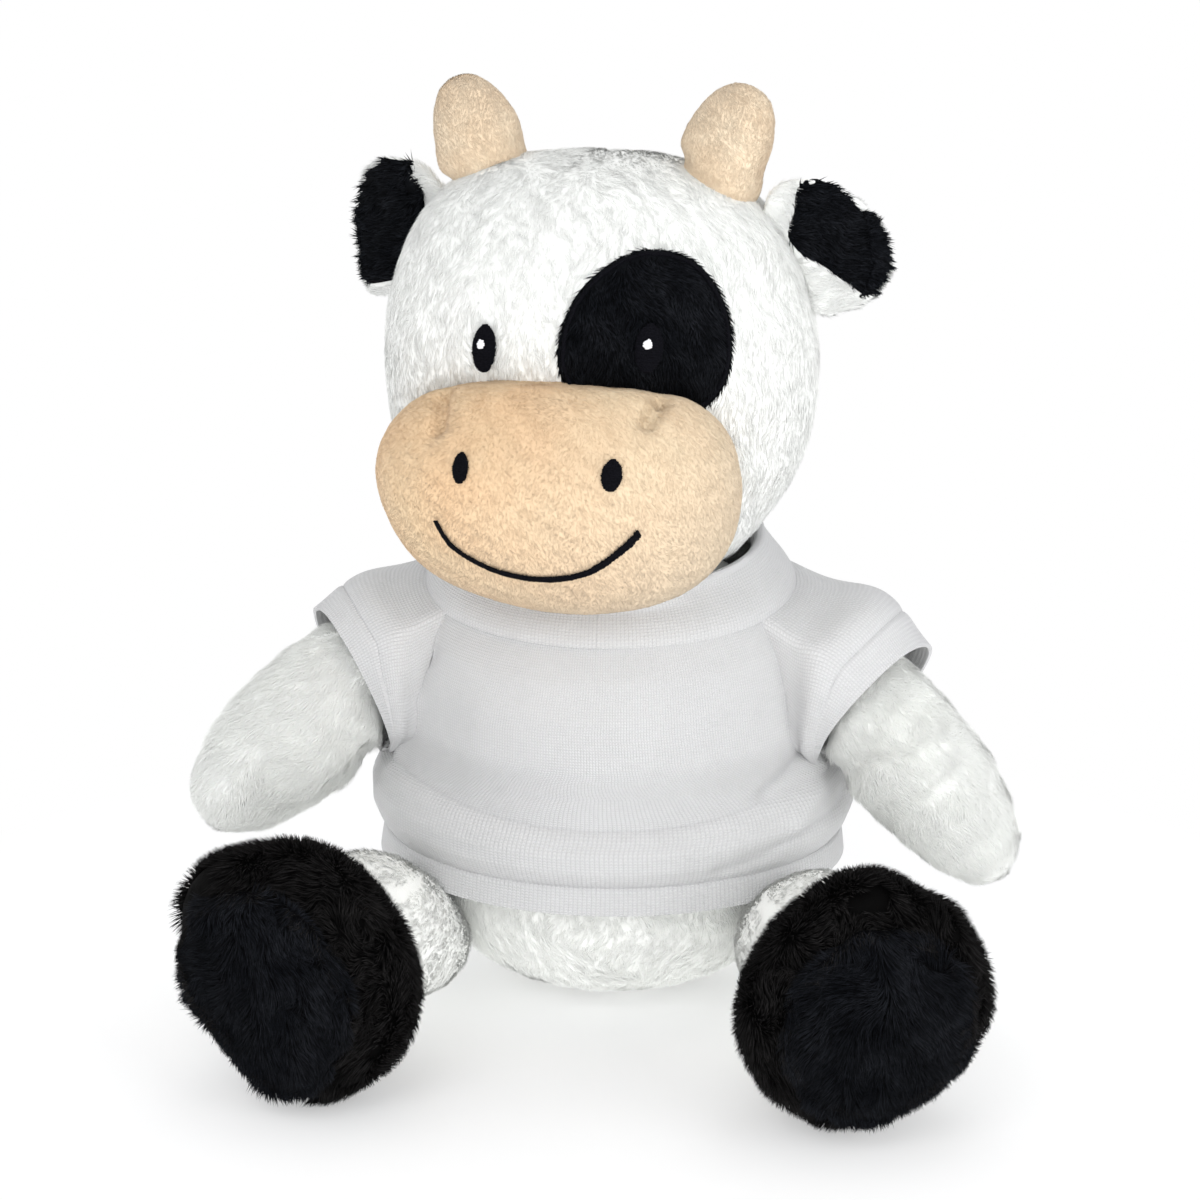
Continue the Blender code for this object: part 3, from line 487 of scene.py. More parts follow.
def triangles_of(piece):
    piece.data.calc_loop_triangles()
    flat = np.empty(len(piece.data.loop_triangles) * 3, np.int32)
    piece.data.loop_triangles.foreach_get("vertices", flat)
    return flat.reshape(-1, 3)


def rebuild(piece, points, triangles, axes, pile, lie, soft):
    """Give a piece these triangles, the map for its bake and its pile's height, 0 to 1.

    Each point's shading leans by the share soft to the way the cloth under it lies.
    """
    low, high = points.min(axis=0) - MM, points.max(axis=0) + MM
    data = bpy.data.meshes.new(piece.name)
    data.from_pydata(points.tolist(), [], triangles.tolist())
    data.shade_smooth()
    own = np.empty(len(points) * 3, np.float32)
    data.vertex_normals.foreach_get("vector", own)
    leaning = unit(own.reshape(-1, 3) * (1 - soft) + lie * soft)
    data.normals_split_custom_set_from_vertices(leaning.astype(np.float32))
    add_bake_map(data, box_map(points[triangles.ravel()], np.repeat(axes, 3), low, high - low))
    height = data.attributes.new("pile", "FLOAT", "POINT")
    height.data.foreach_set("value", pile.astype(np.float32))
    old = piece.data
    piece.data = data
    bpy.data.meshes.remove(old)


def map_for_bake(piece):
    """The same bake map for a piece without pile, kept beside its own maps."""
    points, data = coords(piece), piece.data
    low, span = points.min(axis=0) - MM, np.ptp(points, axis=0) + 2 * MM
    corners = np.empty(len(data.loops), np.int32)
    data.loops.foreach_get("vertex_index", corners)
    normal = np.empty(len(data.polygons) * 3, np.float32)
    data.polygons.foreach_get("normal", normal)
    sizes = np.empty(len(data.polygons), np.int32)
    data.polygons.foreach_get("loop_total", sizes)
    axes = main_way(normal.reshape(-1, 3))
    add_bake_map(data, box_map(points[corners], np.repeat(axes, sizes), low, span))


def grow(piece, lay, seed, keep=None, *, count, long, wide, stand, swirl=0.4, clump=0.25,
         ragged=0.14, soft=0.35, cloth=0.7, ridge=RIDGE_SHARE):
    """Cover a piece with tufts: three-sided points that lean along lay and clump together."""
    random = np.random.default_rng(seed)
    points, triangles, up = coords(piece), triangles_of(piece), normals(piece)
    corner = points[triangles]
    across = np.cross(corner[:, 1] - corner[:, 0], corner[:, 2] - corner[:, 0])
    axes, area = main_way(across), np.linalg.norm(across, axis=1)
    if keep is not None:
        area = area * keep(corner.mean(axis=1))
    chosen = random.choice(len(triangles), count, p=area / area.sum())
    a, b = np.sqrt(random.random(count)), random.random(count)
    mix = np.stack((1 - a, a * (1 - b), a * b), axis=1)[:, :, None]
    root = (corner[chosen] * mix).sum(axis=1)
    normal = unit((up[triangles[chosen]] * mix).sum(axis=1))
    way = lay(root) if callable(lay) else np.tile(np.array(lay, float), (count, 1))
    way = way + waves(root, 14 * MM, seed) * swirl
    way -= normal * (way * normal).sum(axis=1, keepdims=True)
    stray = waves(root, long * 1.6, seed + 1) * clump + random.normal(size=(count, 3)) * ragged
    way = unit(way) + stray - normal * (stray * normal).sum(axis=1, keepdims=True)
    uneven = 1 + 0.15 * waves(root, 4 * long, seed + 2)[:, 0]
    length = long * random.uniform(0.75, 1.12, count) * uneven
    direction = unit(normal * stand + unit(way) * (1 - stand))
    side = unit(np.cross(normal, direction)) * wide / 2
    high = normal * wide * ridge
    tuft = np.stack((root - side - high, root + high, root + side - high,
                     root + direction * length[:, None]), axis=1)
    faces = np.array(((0, 3, 1), (1, 3, 2), (2, 3, 0)))
    first = len(points) + np.arange(count)[:, None, None] * 4
    all_points = np.concatenate((points, tuft.reshape(-1, 3)))
    all_points[:, 2] = np.maximum(all_points[:, 2], FLOOR_GAP)
    all_faces = np.concatenate((triangles, (faces[None] + first).reshape(-1, 3)))
    all_axes = np.concatenate((axes, np.repeat(axes[chosen], 3)))
    tips = np.outer(random.uniform(0.3, 1, count) ** 2, (0, 0, 0, 1)).ravel()
    # The cloth between the tufts gets the pile value cloth * 0.6, so the finish's painted shade at
    # the roots darkens it less where cloth is higher.
    pile = np.concatenate((np.full(len(points), cloth * 0.6), tips))
    lie = np.concatenate((up, np.repeat(normal, 4, axis=0)))
    rebuild(piece, all_points, all_faces, all_axes, pile, lie, soft)


def grow_pile(kind, piece, lay, keep=None, place=0):
    grow(piece, lay, SEEDS[kind] + place, keep, **PILES[kind])


def clear_of(tree, gap):
    return lambda p: np.array([tree.find_nearest(q)[3] > gap for q in p], float)


def outside_of(tree, gap):
    return lambda p: (gap_to(tree, p) > gap).astype(float)


# Materials

class Socket:
    """A shader socket that takes part in sums."""

    def __init__(self, finish, link):
        self.finish = finish
        self.link = link

    def maths(self, operation, first, second=0.0):
        return self.finish.node("ShaderNodeMath", {"operation": operation}, {0: first, 1: second})

    def __add__(self, other):
        return self.maths("ADD", self, other)

    def __sub__(self, other):
        return self.maths("SUBTRACT", self, other)

    def __rsub__(self, other):
        return self.maths("SUBTRACT", other, self)

    def __mul__(self, other):
        return self.maths("MULTIPLY", self, other)

    def __pow__(self, other):
        return self.maths("POWER", self, other)

    __radd__ = __add__
    __rmul__ = __mul__


class Finish:
    """A material and the nodes that make it."""

    def __init__(self, name, colour, roughness=0.9, **constants):
        self.material = bpy.data.materials.new(name)
        self.material.use_nodes = True
        self.tree = self.material.node_tree
        self.shader = self.tree.nodes["Principled BSDF"]
        self.material.diffuse_color = (*colour, 1)
        self.set("Base Color", (*colour, 1))
        self.set("Roughness", roughness)
        for socket, value in constants.items():
            self.set(socket.replace("_", " "), value)

    def set(self, name, value):
        self.fill(self.shader.inputs[name], value)

    def fill(self, socket, value):
        if isinstance(value, Socket):
            self.tree.links.new(value.link, socket)
        else:
            socket.default_value = value

    def node(self, kind, settings=None, inputs=None, output=0):
        """A node with its settings made first, then its inputs. Returns one of its outputs."""
        made = self.tree.nodes.new(kind)
        for name, value in (settings or {}).items():
            setattr(made, name, value)
        for name, value in (inputs or {}).items():
            self.fill(made.inputs[name], value)
        return Socket(self, made.outputs[output])

    def place(self):
        return self.node("ShaderNodeTexCoord", output="Object")

    def part(self, vector, axis):
        return self.node("ShaderNodeSeparateXYZ", {}, {0: vector}, axis)

    def noise(self, size, detail=3):
        """Grain with spots about this size across, 0 to 1."""
        return self.node("ShaderNodeTexNoise", {}, {
            "Vector": self.place(), "Scale": 1 / size, "Detail": detail, "Roughness": 0.55})

    def blend(self, share, first, second):
        """Mix two colours by a share."""
        colours = {place: value if isinstance(value, Socket) else (*value, 1)
                   for place, value in ((6, first), (7, second))}
        return self.node("ShaderNodeMix", {"data_type": "RGBA"}, {0: share, **colours}, 2)

    def span(self, value, low, high):
        return self.node("ShaderNodeMapRange", {}, {
            "Value": value, "From Min": low, "From Max": high})

    def bump(self, height, distance, strength=1.0):
        self.set("Normal", self.node("ShaderNodeBump", {}, {
            "Height": height, "Distance": distance, "Strength": strength}))


def pile_finish(name, deep, tip, tinge, spot, root_shade, sheen=0.1, grain=0.3, gloss=0.1):
    """Pile with painted shade low on each tuft and on the cloth between the tufts, drawn towards
    deep, and with broad and fine drifts of colour; deep is also the dark of the fine drift.
    """
    finish = Finish(name, tip, 0.92, Sheen_Weight=sheen, Sheen_Roughness=0.5,
                    Specular_IOR_Level=gloss)
    broad = finish.span(finish.noise(spot), 0.35, 0.7)
    colour = finish.blend(broad, tip, tinge)
    fine = finish.span(finish.noise(spot * 0.11, 4), 0.3, 0.75)
    colour = finish.blend(fine * grain, colour, deep)
    # Painted shade deep in the pile: low on each tuft, and on the cloth between the tufts, the
    # colour is drawn towards deep.
    height = finish.node("ShaderNodeAttribute", {"attribute_name": "pile"}, output="Fac")
    finish.colour = finish.blend((1 - height) * root_shade, colour, deep)
    finish.set("Base Color", finish.colour)
    finish.set("Roughness", 0.82 + finish.noise(spot * 0.3) * 0.15)
    finish.bump(finish.noise(0.5 * MM, 3), 0.25 * MM, 0.4)
    return finish


# Black pile: the roots are painted nearly black as shade deep in the pile, and the tips are painted
# lighter as the sheen on the fibres.
def black_finish(name, deep, tip, tinge):
    return pile_finish(name, deep, tip, tinge, 6 * MM, root_shade=0.98, sheen=0.0, gloss=0.05)


def muzzle_finish():
    """Peach velour with fine crimped lines, warm on its right; painted paler towards its left and
    below, as a painted highlight on its lit side and a painted reflection of the shirt and floor
    under it.
    """
    finish = pile_finish("peach_velour", (0.60, 0.40, 0.23), (0.77, 0.54, 0.335),
                         (0.77, 0.61, 0.405), 20 * MM, root_shade=0.25, grain=0.4)
    middle, place, warm = centre_of("muzzle_skin"), finish.place(), finish.colour
    across, tall = finish.part(place, 0), finish.part(place, 2)
    # Painted light: towards the left and downwards the colour goes paler, standing for the lit side
    # and the light reflected up from below.
    share = finish.span((across - middle.x) - (tall - middle.z) * 0.7, -24 * MM, 34 * MM)
    painted_light_tone = finish.blend(0.35, (0.66, 0.565, 0.435), warm)
    finish.set("Base Color", finish.blend(share, warm, painted_light_tone))
    bands = {"wave_type": "BANDS", "bands_direction": "DIAGONAL"}
    crimp = finish.node("ShaderNodeTexWave", bands, {
        "Vector": place, "Scale": 0.28 / (1.1 * MM), "Distortion": 6.0, "Detail": 2.0,
        "Detail Scale": 1.6})
    finish.bump(crimp, 0.2 * MM, 0.5)
    return finish


def knit_finish(name):
    """Fine jersey: columns of small V stitches that follow the cloth."""
    finish = Finish(name, (0.72, 0.72, 0.725), 0.85, Sheen_Weight=0.05, Specular_IOR_Level=0.15)
    uv = finish.node("ShaderNodeUVMap", {"uv_map": "Knit"})
    u, v = finish.part(uv, 0), finish.part(uv, 1)
    across = finish.node("ShaderNodeMath", {"operation": "FRACT"}, {0: u})
    edge = finish.node("ShaderNodeMath", {"operation": "ABSOLUTE"}, {0: across - 0.5}) * 2
    row = finish.node("ShaderNodeMath", {"operation": "SINE"}, {0: (v + edge * 0.4) * math.tau})
    stitch = (row * 0.5 + 0.5) * (1 - edge ** 3) * 0.6 + (1 - edge ** 4) * 0.4
    drift = finish.noise(9 * MM, 3)
    colour = finish.blend(finish.span(drift, 0.3, 0.7), (0.66, 0.66, 0.665), (0.63, 0.63, 0.635))
    # Painted shade: in the hollows between the stitches the colour is drawn towards dark grey.
    colour = finish.blend(stitch, finish.blend(0.6, colour, (0.46, 0.46, 0.47)), colour)
    finish.set("Base Color", colour)
    finish.set("Roughness", 0.78 + drift * 0.15)
    finish.bump(stitch + finish.noise(0.3 * MM, 2) * 0.3, 0.18 * MM, 0.8)
    return finish


def thread_finish(name, colour, deep):
    """Embroidery thread, with twist lines and a soft shine."""
    finish = Finish(name, colour, 0.7, Specular_IOR_Level=0.03)
    strand = finish.noise(0.25 * MM, 3)
    finish.set("Base Color", finish.blend(finish.span(strand, 0.35, 0.7), colour, deep))
    finish.set("Roughness", 0.6 + strand * 0.3)
    finish.bump(strand, 0.08 * MM, 0.5)
    return finish


def dress(piece, finish, body, slot, *nodes):
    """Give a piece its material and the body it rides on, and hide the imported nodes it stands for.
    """
    piece.data.materials.clear()
    piece.data.materials.append(finish.material)
    if body:
        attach(piece, body)
    if nodes:
        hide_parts(*nodes)


# Embroidery

def stitches(name, ends):
    """Satin stitches: each pair of ends, with the surface's normal, gets one rounded thread."""
    mesh = bmesh.new()
    bmesh.ops.create_uvsphere(mesh, u_segments=6, v_segments=7, radius=1)
    points = np.array([vert.co[:] for vert in mesh.verts])
    faces = np.array([[vert.index for vert in face.verts] for face in
                      bmesh.ops.triangulate(mesh, faces=mesh.faces)["faces"]])
    mesh.free()
    blunt = np.sign(points[:, 2]) * np.abs(points[:, 2]) ** 0.55
    all_points, all_faces = [], []
    for start, stop, normal in ends:
        axis = stop - start
        side = normal.cross(axis).normalized()
        up = axis.cross(side).normalized()
        crown = THREAD_HIGH * (1 - blunt ** 2)[:, None] * np.array(up) * 0.6
        thread = (np.array((start + stop) / 2) + crown
                  + points[:, 0:1] * np.array(side) * THREAD_WIDE / 2
                  + points[:, 1:2] * np.array(up) * THREAD_HIGH
                  + blunt[:, None] * np.array(axis) / 2)
        all_faces.append(faces + len(all_points) * len(points))
        all_points.append(thread)
    data = bpy.data.meshes.new(name)
    data.from_pydata(np.concatenate(all_points).tolist(), [], np.concatenate(all_faces).tolist())
    data.shade_smooth()
    piece = as_piece(name, data)
    map_for_bake(piece)
    return piece


def satin_oval(name, tree, centre, half_wide, half_tall, lift, seed):
    """An oval filled with threads laid side by side across it, its place in photograph pixels."""
    random = np.random.default_rng(seed)
    middle, normal = seen(*centre, tree)
    side = HEAD_PLACE.to_3x3() @ Vector((1, 0, 0))
    side = (side - normal * side.dot(normal)).normalized()
    up = normal.cross(side)
    if up.z < 0:
        up = -up
    count = round(2 * half_tall / (THREAD_WIDE * 0.72))
    ends = []
    for layer in range(2):
        for i in range(count):
            share = (i + 0.5 + 0.5 * layer) / count * 2 - 1
            reach = half_wide * math.sqrt(max(0.06, 1 - share ** 2))
            ragged = random.uniform(-0.25, 0.25, 2) * MM * 0.6
            row = middle + up * share * half_tall
            slant = up * THREAD_SLANT * reach
            placed = []
            for point in (row - side * (reach + ragged[0]) - slant,
                          row + side * (reach + ragged[1]) + slant):
                near, at_normal, _, _ = tree.find_nearest(point)
                placed.append(near + at_normal * (lift + layer * 0.12 * MM))
            ends.append((*placed, normal))
    return stitches(name, ends)


def satin_line(name, tree, pixels, widths, lift, seed):
    """Threads laid side by side across a curved line; its points are photograph pixels."""
    random = np.random.default_rng(seed)
    knots = np.array([tuple(point) for point in seen_line(pixels, tree)])
    steps = lengths_along(knots)
    count = round(steps[-1] / (THREAD_WIDE * 0.55))

    def at(place):
        return np.array([np.interp(place, steps, knots[:, k]) for k in range(3)])

    ends = []
    for i in range(count):
        here = steps[-1] * (i + 0.5) / count
        ahead = Vector(at(here + 0.5 * MM) - at(here - 0.5 * MM)).normalized()
        near, normal, _, _ = tree.find_nearest(Vector(at(here)))
        half = np.interp(here / steps[-1], (0, 0.5, 1), widths) / 2 * random.uniform(0.82, 1.2)
        across = (normal.cross(ahead) + ahead * 0.35).normalized() * half
        base = near + normal * lift
        ends.append((base - across, base + across, normal))
    return stitches(name, ends)


# Shirt

def collar_base(turn):
    back = -np.cos(turn) * SHIRT_HALF_DEEP * COLLAR_SHARE
    return COLLAR_HEIGHT + COLLAR_TILT_SHARE * back


# Height of the waist's crease above the hem, of the hem's seam, and the shirt's girth shares
CREASE_RISE, CREASE_SIDE_RISE = 17.0 * MM, 23.0 * MM
SEAM_RISE = 6.0 * MM
BAND_SHARES = ((0.0, 0.958), (0.5, 0.952), (0.86, 0.947), (1.0, 0.932))
ROLL_SHARES = ((0.0, 0.934), (0.14, 0.968), (0.34, 0.996), (0.6, 0.996), (0.86, 0.958),
               (1.0, 0.914))
CHEST_SHARES = ((0.0, 0.914), (0.12, 0.912), (0.35, 0.895), (0.6, 0.862), (0.8, 0.815),
                (1.0, 0.735))

# Soft folds of the shirt: turn in degrees and height in millimetres of both ends, how wide, and
# how far they stand out
FRONT_FOLDS = ((52, 44, 82, 56, 2.6, 1.6), (46, 50, 74, 60, 2.2, -1.1), (30, 37, 78, 44, 1.8, -1.0),
               (-80, 58, -56, 76, 2.8, -0.9), (-70, 50, -58, 66, 2.2, 0.8),
               (-30, 62, 20, 58, 9.0, 0.9))
BACK_FOLDS = ((112, 46, 158, 56, 2.6, 1.0), (118, 54, 150, 68, 2.4, -0.8),
              (-158, 40, -110, 47, 2.6, 1.0), (-146, 62, -116, 52, 2.4, -0.8))

# Collar: how far out and up its cloth goes, in millimetres, from its seam over its rolled top
COLLAR_PROFILE = ((0.3, -0.8), (0.7, 0.8), (0.9, 3.0), (0.6, 5.4), (0.0, 7.6), (-0.8, 9.2),
                  (-1.7, 9.8), (-2.5, 9.2), (-2.8, 7.4))


def read_shares(table, share):
    return np.interp(share, *zip(*table))


def shirt_girth(turn, height):
    """The shirt's share of its full girth at a height, through hem band, waist roll and chest."""
    crease = HEM_HEIGHT + CREASE_RISE + (CREASE_SIDE_RISE - CREASE_RISE) * np.sin(turn) ** 2
    seam = HEM_HEIGHT + SEAM_RISE
    top = collar_base(turn)
    band = read_shares(BAND_SHARES, (height - HEM_HEIGHT) / SEAM_RISE)
    roll = read_shares(ROLL_SHARES, (height - seam) / (crease - seam))
    chest = read_shares(CHEST_SHARES, (height - crease) / (top - crease))
    return np.where(height < seam, band, np.where(height < crease, roll, chest))


def shirt_point(turn, height, out=0.0):
    """Points on the shirt: turn from the front, height above the floor, moved out by a distance."""
    top = collar_base(turn)
    rise = np.clip((height - HEM_HEIGHT) / (top - HEM_HEIGHT), 0, 1)
    girth = shirt_girth(turn, height)
    x = np.sin(turn) * (SHIRT_HALF_WIDE * girth + out)
    y = -np.cos(turn) * (SHIRT_HALF_DEEP * girth + out) - SHIRT_LEAN * rise ** 2
    return np.stack((x + SEAT.x, y + SEAT.y, height + 0 * turn), axis=-1)


def fold_out(turn, height, folds):
    """How far folds move a point of the shirt outwards."""
    out = np.zeros(np.broadcast(turn, height).shape)
    for turn_a, height_a, turn_b, height_b, wide, high in folds:
        ax, bx = math.radians(turn_a) * SHIRT_HALF_WIDE, math.radians(turn_b) * SHIRT_HALF_WIDE
        x, y = turn * SHIRT_HALF_WIDE - ax, height - height_a * MM
        dx, dy = bx - ax, height_b * MM - height_a * MM
        share = np.clip((x * dx + y * dy) / (dx * dx + dy * dy), 0, 1)
        away = np.hypot(x - share * dx, y - share * dy)
        out = out + high * MM * np.exp(-(away / (wide * MM)) ** 2)
    return out


def raglan_turn(height):
    """The turn from the front at which a panel meets its sleeve."""
    share = (height - RAGLAN_LOW) / (RAGLAN_HIGH - RAGLAN_LOW)
    return SIDE_TURN + (RAGLAN_TURN - SIDE_TURN) * eased(share)


def knit_sheet(name, rows, closed=False):
    """A sheet of knit over rows of points, with its stitches counted along it."""
    count, columns = rows.shape[:2]
    stitches_across, stitches_up = stitch_counts(rows)
    faces, places = [], []
    for r in range(count - 1):
        for c in range(columns if closed else columns - 1):
            d = (c + 1) % columns
            faces.append((r * columns + c, r * columns + d, (r + 1) * columns + d,
                          (r + 1) * columns + c))
            u, u2 = stitches_across[r, c], stitches_across[r, d]
            if not d:
                u2 = u * 2 - stitches_across[r, c - 1]
            v, v2 = stitches_up[r, c], stitches_up[r + 1, c]
            places += [(u, v), (u2, v), (u2, v2), (u, v2)]
    data = bpy.data.meshes.new(name)
    data.from_pydata(rows.reshape(-1, 3).tolist(), [], faces)
    layer = data.uv_layers.new(name="Knit")
    layer.data.foreach_set("uv", np.array(places, np.float32).ravel())
    piece = as_piece(name, data)
    apply(piece, "SOLIDIFY", thickness=KNIT_THICK, offset=1)
    apply(piece, "BEVEL", width=KNIT_THICK * 0.4, segments=2, limit_method="ANGLE",
          angle_limit=math.radians(60))
    piece.data.shade_smooth()
    map_for_bake(piece)
    return piece


def stitch_counts(rows):
    """Stitches across and up, counted along each row and each column of points."""
    across = np.linalg.norm(np.diff(rows, axis=1), axis=2)
    across = np.concatenate((np.zeros((len(rows), 1)), np.cumsum(across, axis=1)), axis=1)
    up = np.linalg.norm(np.diff(rows, axis=0), axis=2).mean(axis=1)
    up = np.concatenate(([0], np.cumsum(up)))
    mean = across[:, -1].mean() / np.maximum(across[:, -1:], 1e-9)
    return across * mean / STITCH_WIDE, np.repeat(up[:, None], rows.shape[1], axis=1) / STITCH_TALL


def turned_about(points, pivot, angle, axis):
    """Points turned about an axis through a pivot."""
    pivot = np.array(tuple(pivot))
    return (points - pivot) @ np.array(Matrix.Rotation(angle, 3, axis)).T + pivot


def make_room(rows, free):
    """Draw a panel in where an arm would press on it, by the share to which each point is free."""
    points, free = rows.reshape(-1, 3).copy(), free.ravel()
    inward = unit((np.array(SEAT) - points) * (1, 1, 0))
    for name, side in SIDES.items():
        near = np.nonzero(((points[:, 0] - SEAT.x) * side > PRESS_OUT)
                          & (points[:, 2] < PRESS_HEIGHT) & (free > 0))[0]
        press = np.zeros(len(near))
        for swing in (0, ARM_SWING_BACK / 2, ARM_SWING_BACK):
            local = turned_about(points[near], shoulder(side), -swing, "X")
            press = np.maximum(press, ARM_ROOM - gap_to(arm_trees[name], local))
        points[near] += inward[near] * (np.minimum(press, MOST_ROOM) * free[near])[:, None]
    return points.reshape(rows.shape)


def panel_rows(facing_turn, folds, columns=150, levels=110):
    """Rows of points over a panel, from its hem to the collar, drawn in along its seams."""
    rows, free = [], []
    fade = 3 * MM
    for share in np.linspace(0, 1, levels):
        low = HEM_HEIGHT
        edge = raglan_turn(low + share * (collar_base(np.array(0.0)) - low)) + math.radians(1.2)
        turn = np.linspace(-edge, edge, columns) + facing_turn
        height = low + share * (collar_base(turn) - low)
        out = fold_out((turn + math.pi) % math.tau - math.pi, height, folds)
        wander = waves(np.stack((turn * 40 * MM, height, height * 0), axis=1), 24 * MM, 5)[:, 0]
        to_edge = (edge - np.abs(turn - facing_turn)) * SHIRT_HALF_WIDE
        sewn = np.exp(-(to_edge / (1.1 * MM)) ** 2) * eased((share - 0.2) * 8)
        rows.append(shirt_point(turn, height, out + wander * 0.25 * MM - sewn * 0.7 * MM))
        free.append(np.maximum(eased((SLEEVE_LOW - height) / fade), eased(to_edge / fade - 0.3)))
    return make_room(np.array(rows), np.array(free))


def make_shirt_panels(knit):
    for node, turn, folds in (("shirt_front", 0.0, FRONT_FOLDS),
                              ("shirt_back", math.pi, BACK_FOLDS)):
        piece = knit_sheet(node + "_knit", panel_rows(turn, folds))
        dress(piece, knit, "torso", "shirt_knit", node)


def make_collar(knit):
    """The doubled collar band, which stands round the neck and rolls over at its top."""
    turns = np.linspace(0, math.tau, 160, endpoint=False)
    inward = np.stack((-np.sin(turns), np.cos(turns), 0 * turns), axis=1)
    wobble = 0.5 * np.sin(3 * turns + 0.6) + 0.3 * np.sin(5 * turns + 2)
    rows = []
    for out, up in COLLAR_PROFILE:
        near = out - 1.6 * min(1, max(0, up) / 9) * eased(np.sin(turns) * 0.8 + 0.2)
        x = np.sin(turns) * (SHIRT_HALF_WIDE * COLLAR_SHARE + (near + 0.5) * MM)
        y = -np.cos(turns) * (SHIRT_HALF_DEEP * COLLAR_SHARE + (near + 0.5) * MM) - SHIRT_LEAN
        z = collar_base(turns) + (up + 0.6 + wobble * min(1, max(0, up) / 8) * 0.6) * MM
        row = np.stack((x + SEAT.x, y + SEAT.y, z), axis=1)
        gap = np.min([gap_to(tree, turned_about(row, NECK, -turn, "Z")) for turn in HEAD_TURNS
                      for tree in (head_tree, muzzle_tree)], axis=0)
        spare = np.clip(gap - HEAD_ROOM, -COLLAR_GIVE, COLLAR_TAKE) * eased((up + 2) / 10)
        rows.append(row + inward * spare[:, None])
    rows = smooth_rows(np.array(rows), 5)
    piece = knit_sheet("collar_knit", rows, closed=True)
    dress(piece, knit, "torso", "shirt_knit", "collar")


def smooth_rows(rows, times):
    """Put more rows on a smooth curve through rows of points."""
    count = len(rows)
    result = []
    for i in range((count - 1) * times + 1):
        place = i / times
        k = min(int(place), count - 2)
        t = place - k
        p0, p1, p2, p3 = (rows[min(max(k + d, 0), count - 1)] for d in (-1, 0, 1, 2))
        result.append(0.5 * (2 * p1 + (p2 - p0) * t + (2 * p0 - 5 * p1 + 4 * p2 - p3) * t ** 2
                             + (3 * p1 - p0 - 3 * p2 + p3) * t ** 3))
    return np.array(result)


# Arms and sleeves
SHOULDER_OUT, SHOULDER_FORWARD, SHOULDER_HEIGHT = 40.5 * MM, 3 * MM, 73.5 * MM
ARM_OUT = {"right": math.radians(40.5), "left": math.radians(44.5)}
ARM_SWING = {"right": math.radians(36), "left": math.radians(34)}
ARM_WIDE, ARM_PILE = 29 * MM, 1.2 * MM
CUFF_REACH = 19 * MM
SLEEVE_LOW = 47.6 * MM
CUFF_EASE = 1.4 * MM
CUFF_TILT = {"right": 5.5 * MM, "left": 1.0 * MM}
CUFF_LIFT = {"right": 0.5 * MM, "left": 2.0 * MM}
CROWN_PUFF = {"right": 2.0 * MM, "left": 4.0 * MM}

# Room for the arms to swing back and for the head to turn
ARM_SWING_BACK, ARM_ROOM, MOST_ROOM = math.radians(10), 2.5 * MM, 5.5 * MM
NECK = SEAT + Vector((-1.5 * MM, -7 * MM, 0))
HEAD_TURNS = tuple(math.radians(turn) for turn in (-20, -10, 0, 10, 20))
HEAD_ROOM, COLLAR_GIVE, COLLAR_TAKE = 2.1 * MM, 2.5 * MM, 3.5 * MM
PRESS_OUT, PRESS_HEIGHT = 30 * MM, 66 * MM
THIN_REACH, THIN_FADE, THIN_DEPTH = 20 * MM, 7 * MM, 4.5 * MM
SLEEVE_COLUMNS, SLEEVE_ROWS = 120, 64
HEM_PLACE = 0.78


def shoulder(side):
    return SEAT + Vector((side * SHOULDER_OUT, -SHOULDER_FORWARD, SHOULDER_HEIGHT))


def arm_way(name):
    out, swing = ARM_OUT[name], ARM_SWING[name]
    down = math.sin(out)
    return Vector((SIDES[name] * math.cos(out), -down * math.sin(swing), -down * math.cos(swing)))


def arm_place(name, reach):
    """A place on the arm's axis, Z outwards along it and Y low."""
    ahead = arm_way(name)
    low = Vector((0, 0, -1))
    low = (low - ahead * low.dot(ahead)).normalized()
    turn = Matrix((low.cross(ahead), low, ahead)).transposed().to_4x4()
    return Matrix.Translation(shoulder(SIDES[name]) + ahead * reach) @ turn


def thin_root(piece, name):
    """Draw an arm's underside in where its sleeve hides it, so that it clears the shirt."""
    points, ahead = coords(piece), np.array(arm_way(name))
    offset = points - np.array(shoulder(SIDES[name]))
    reach = offset @ ahead
    outward = unit(offset - reach[:, None] * ahead)
    thin = eased((THIN_REACH - reach) / THIN_FADE) * eased(0.5 - outward[:, 2]) * THIN_DEPTH
    set_coords(piece, points - outward * thin[:, None])


def sleeve_root(side):
    """The ring in which a sleeve is sewn to the panels and the collar, and its length."""
    edge, far_edge = RAGLAN_TURN, math.pi - RAGLAN_TURN
    front = [(raglan_turn(h), h) for h in np.linspace(SLEEVE_LOW, collar_base(edge), 46)]
    over = [(t, collar_base(t)) for t in np.linspace(edge, far_edge, 22)[1:-1]]
    behind = [(math.pi - raglan_turn(h), h)
              for h in np.linspace(collar_base(far_edge), SLEEVE_LOW, 46)]
    outline = [shirt_point(np.array(side * t), np.array(h), 0.1 * MM)
               for t, h in front + over + behind]
    outline = np.array(outline + outline[:1])
    steps = lengths_along(outline)
    spaced = np.linspace(0, steps[-1], SLEEVE_COLUMNS, endpoint=False)
    return np.stack([np.interp(spaced, steps, outline[:, k]) for k in range(3)], axis=1), steps[-1]


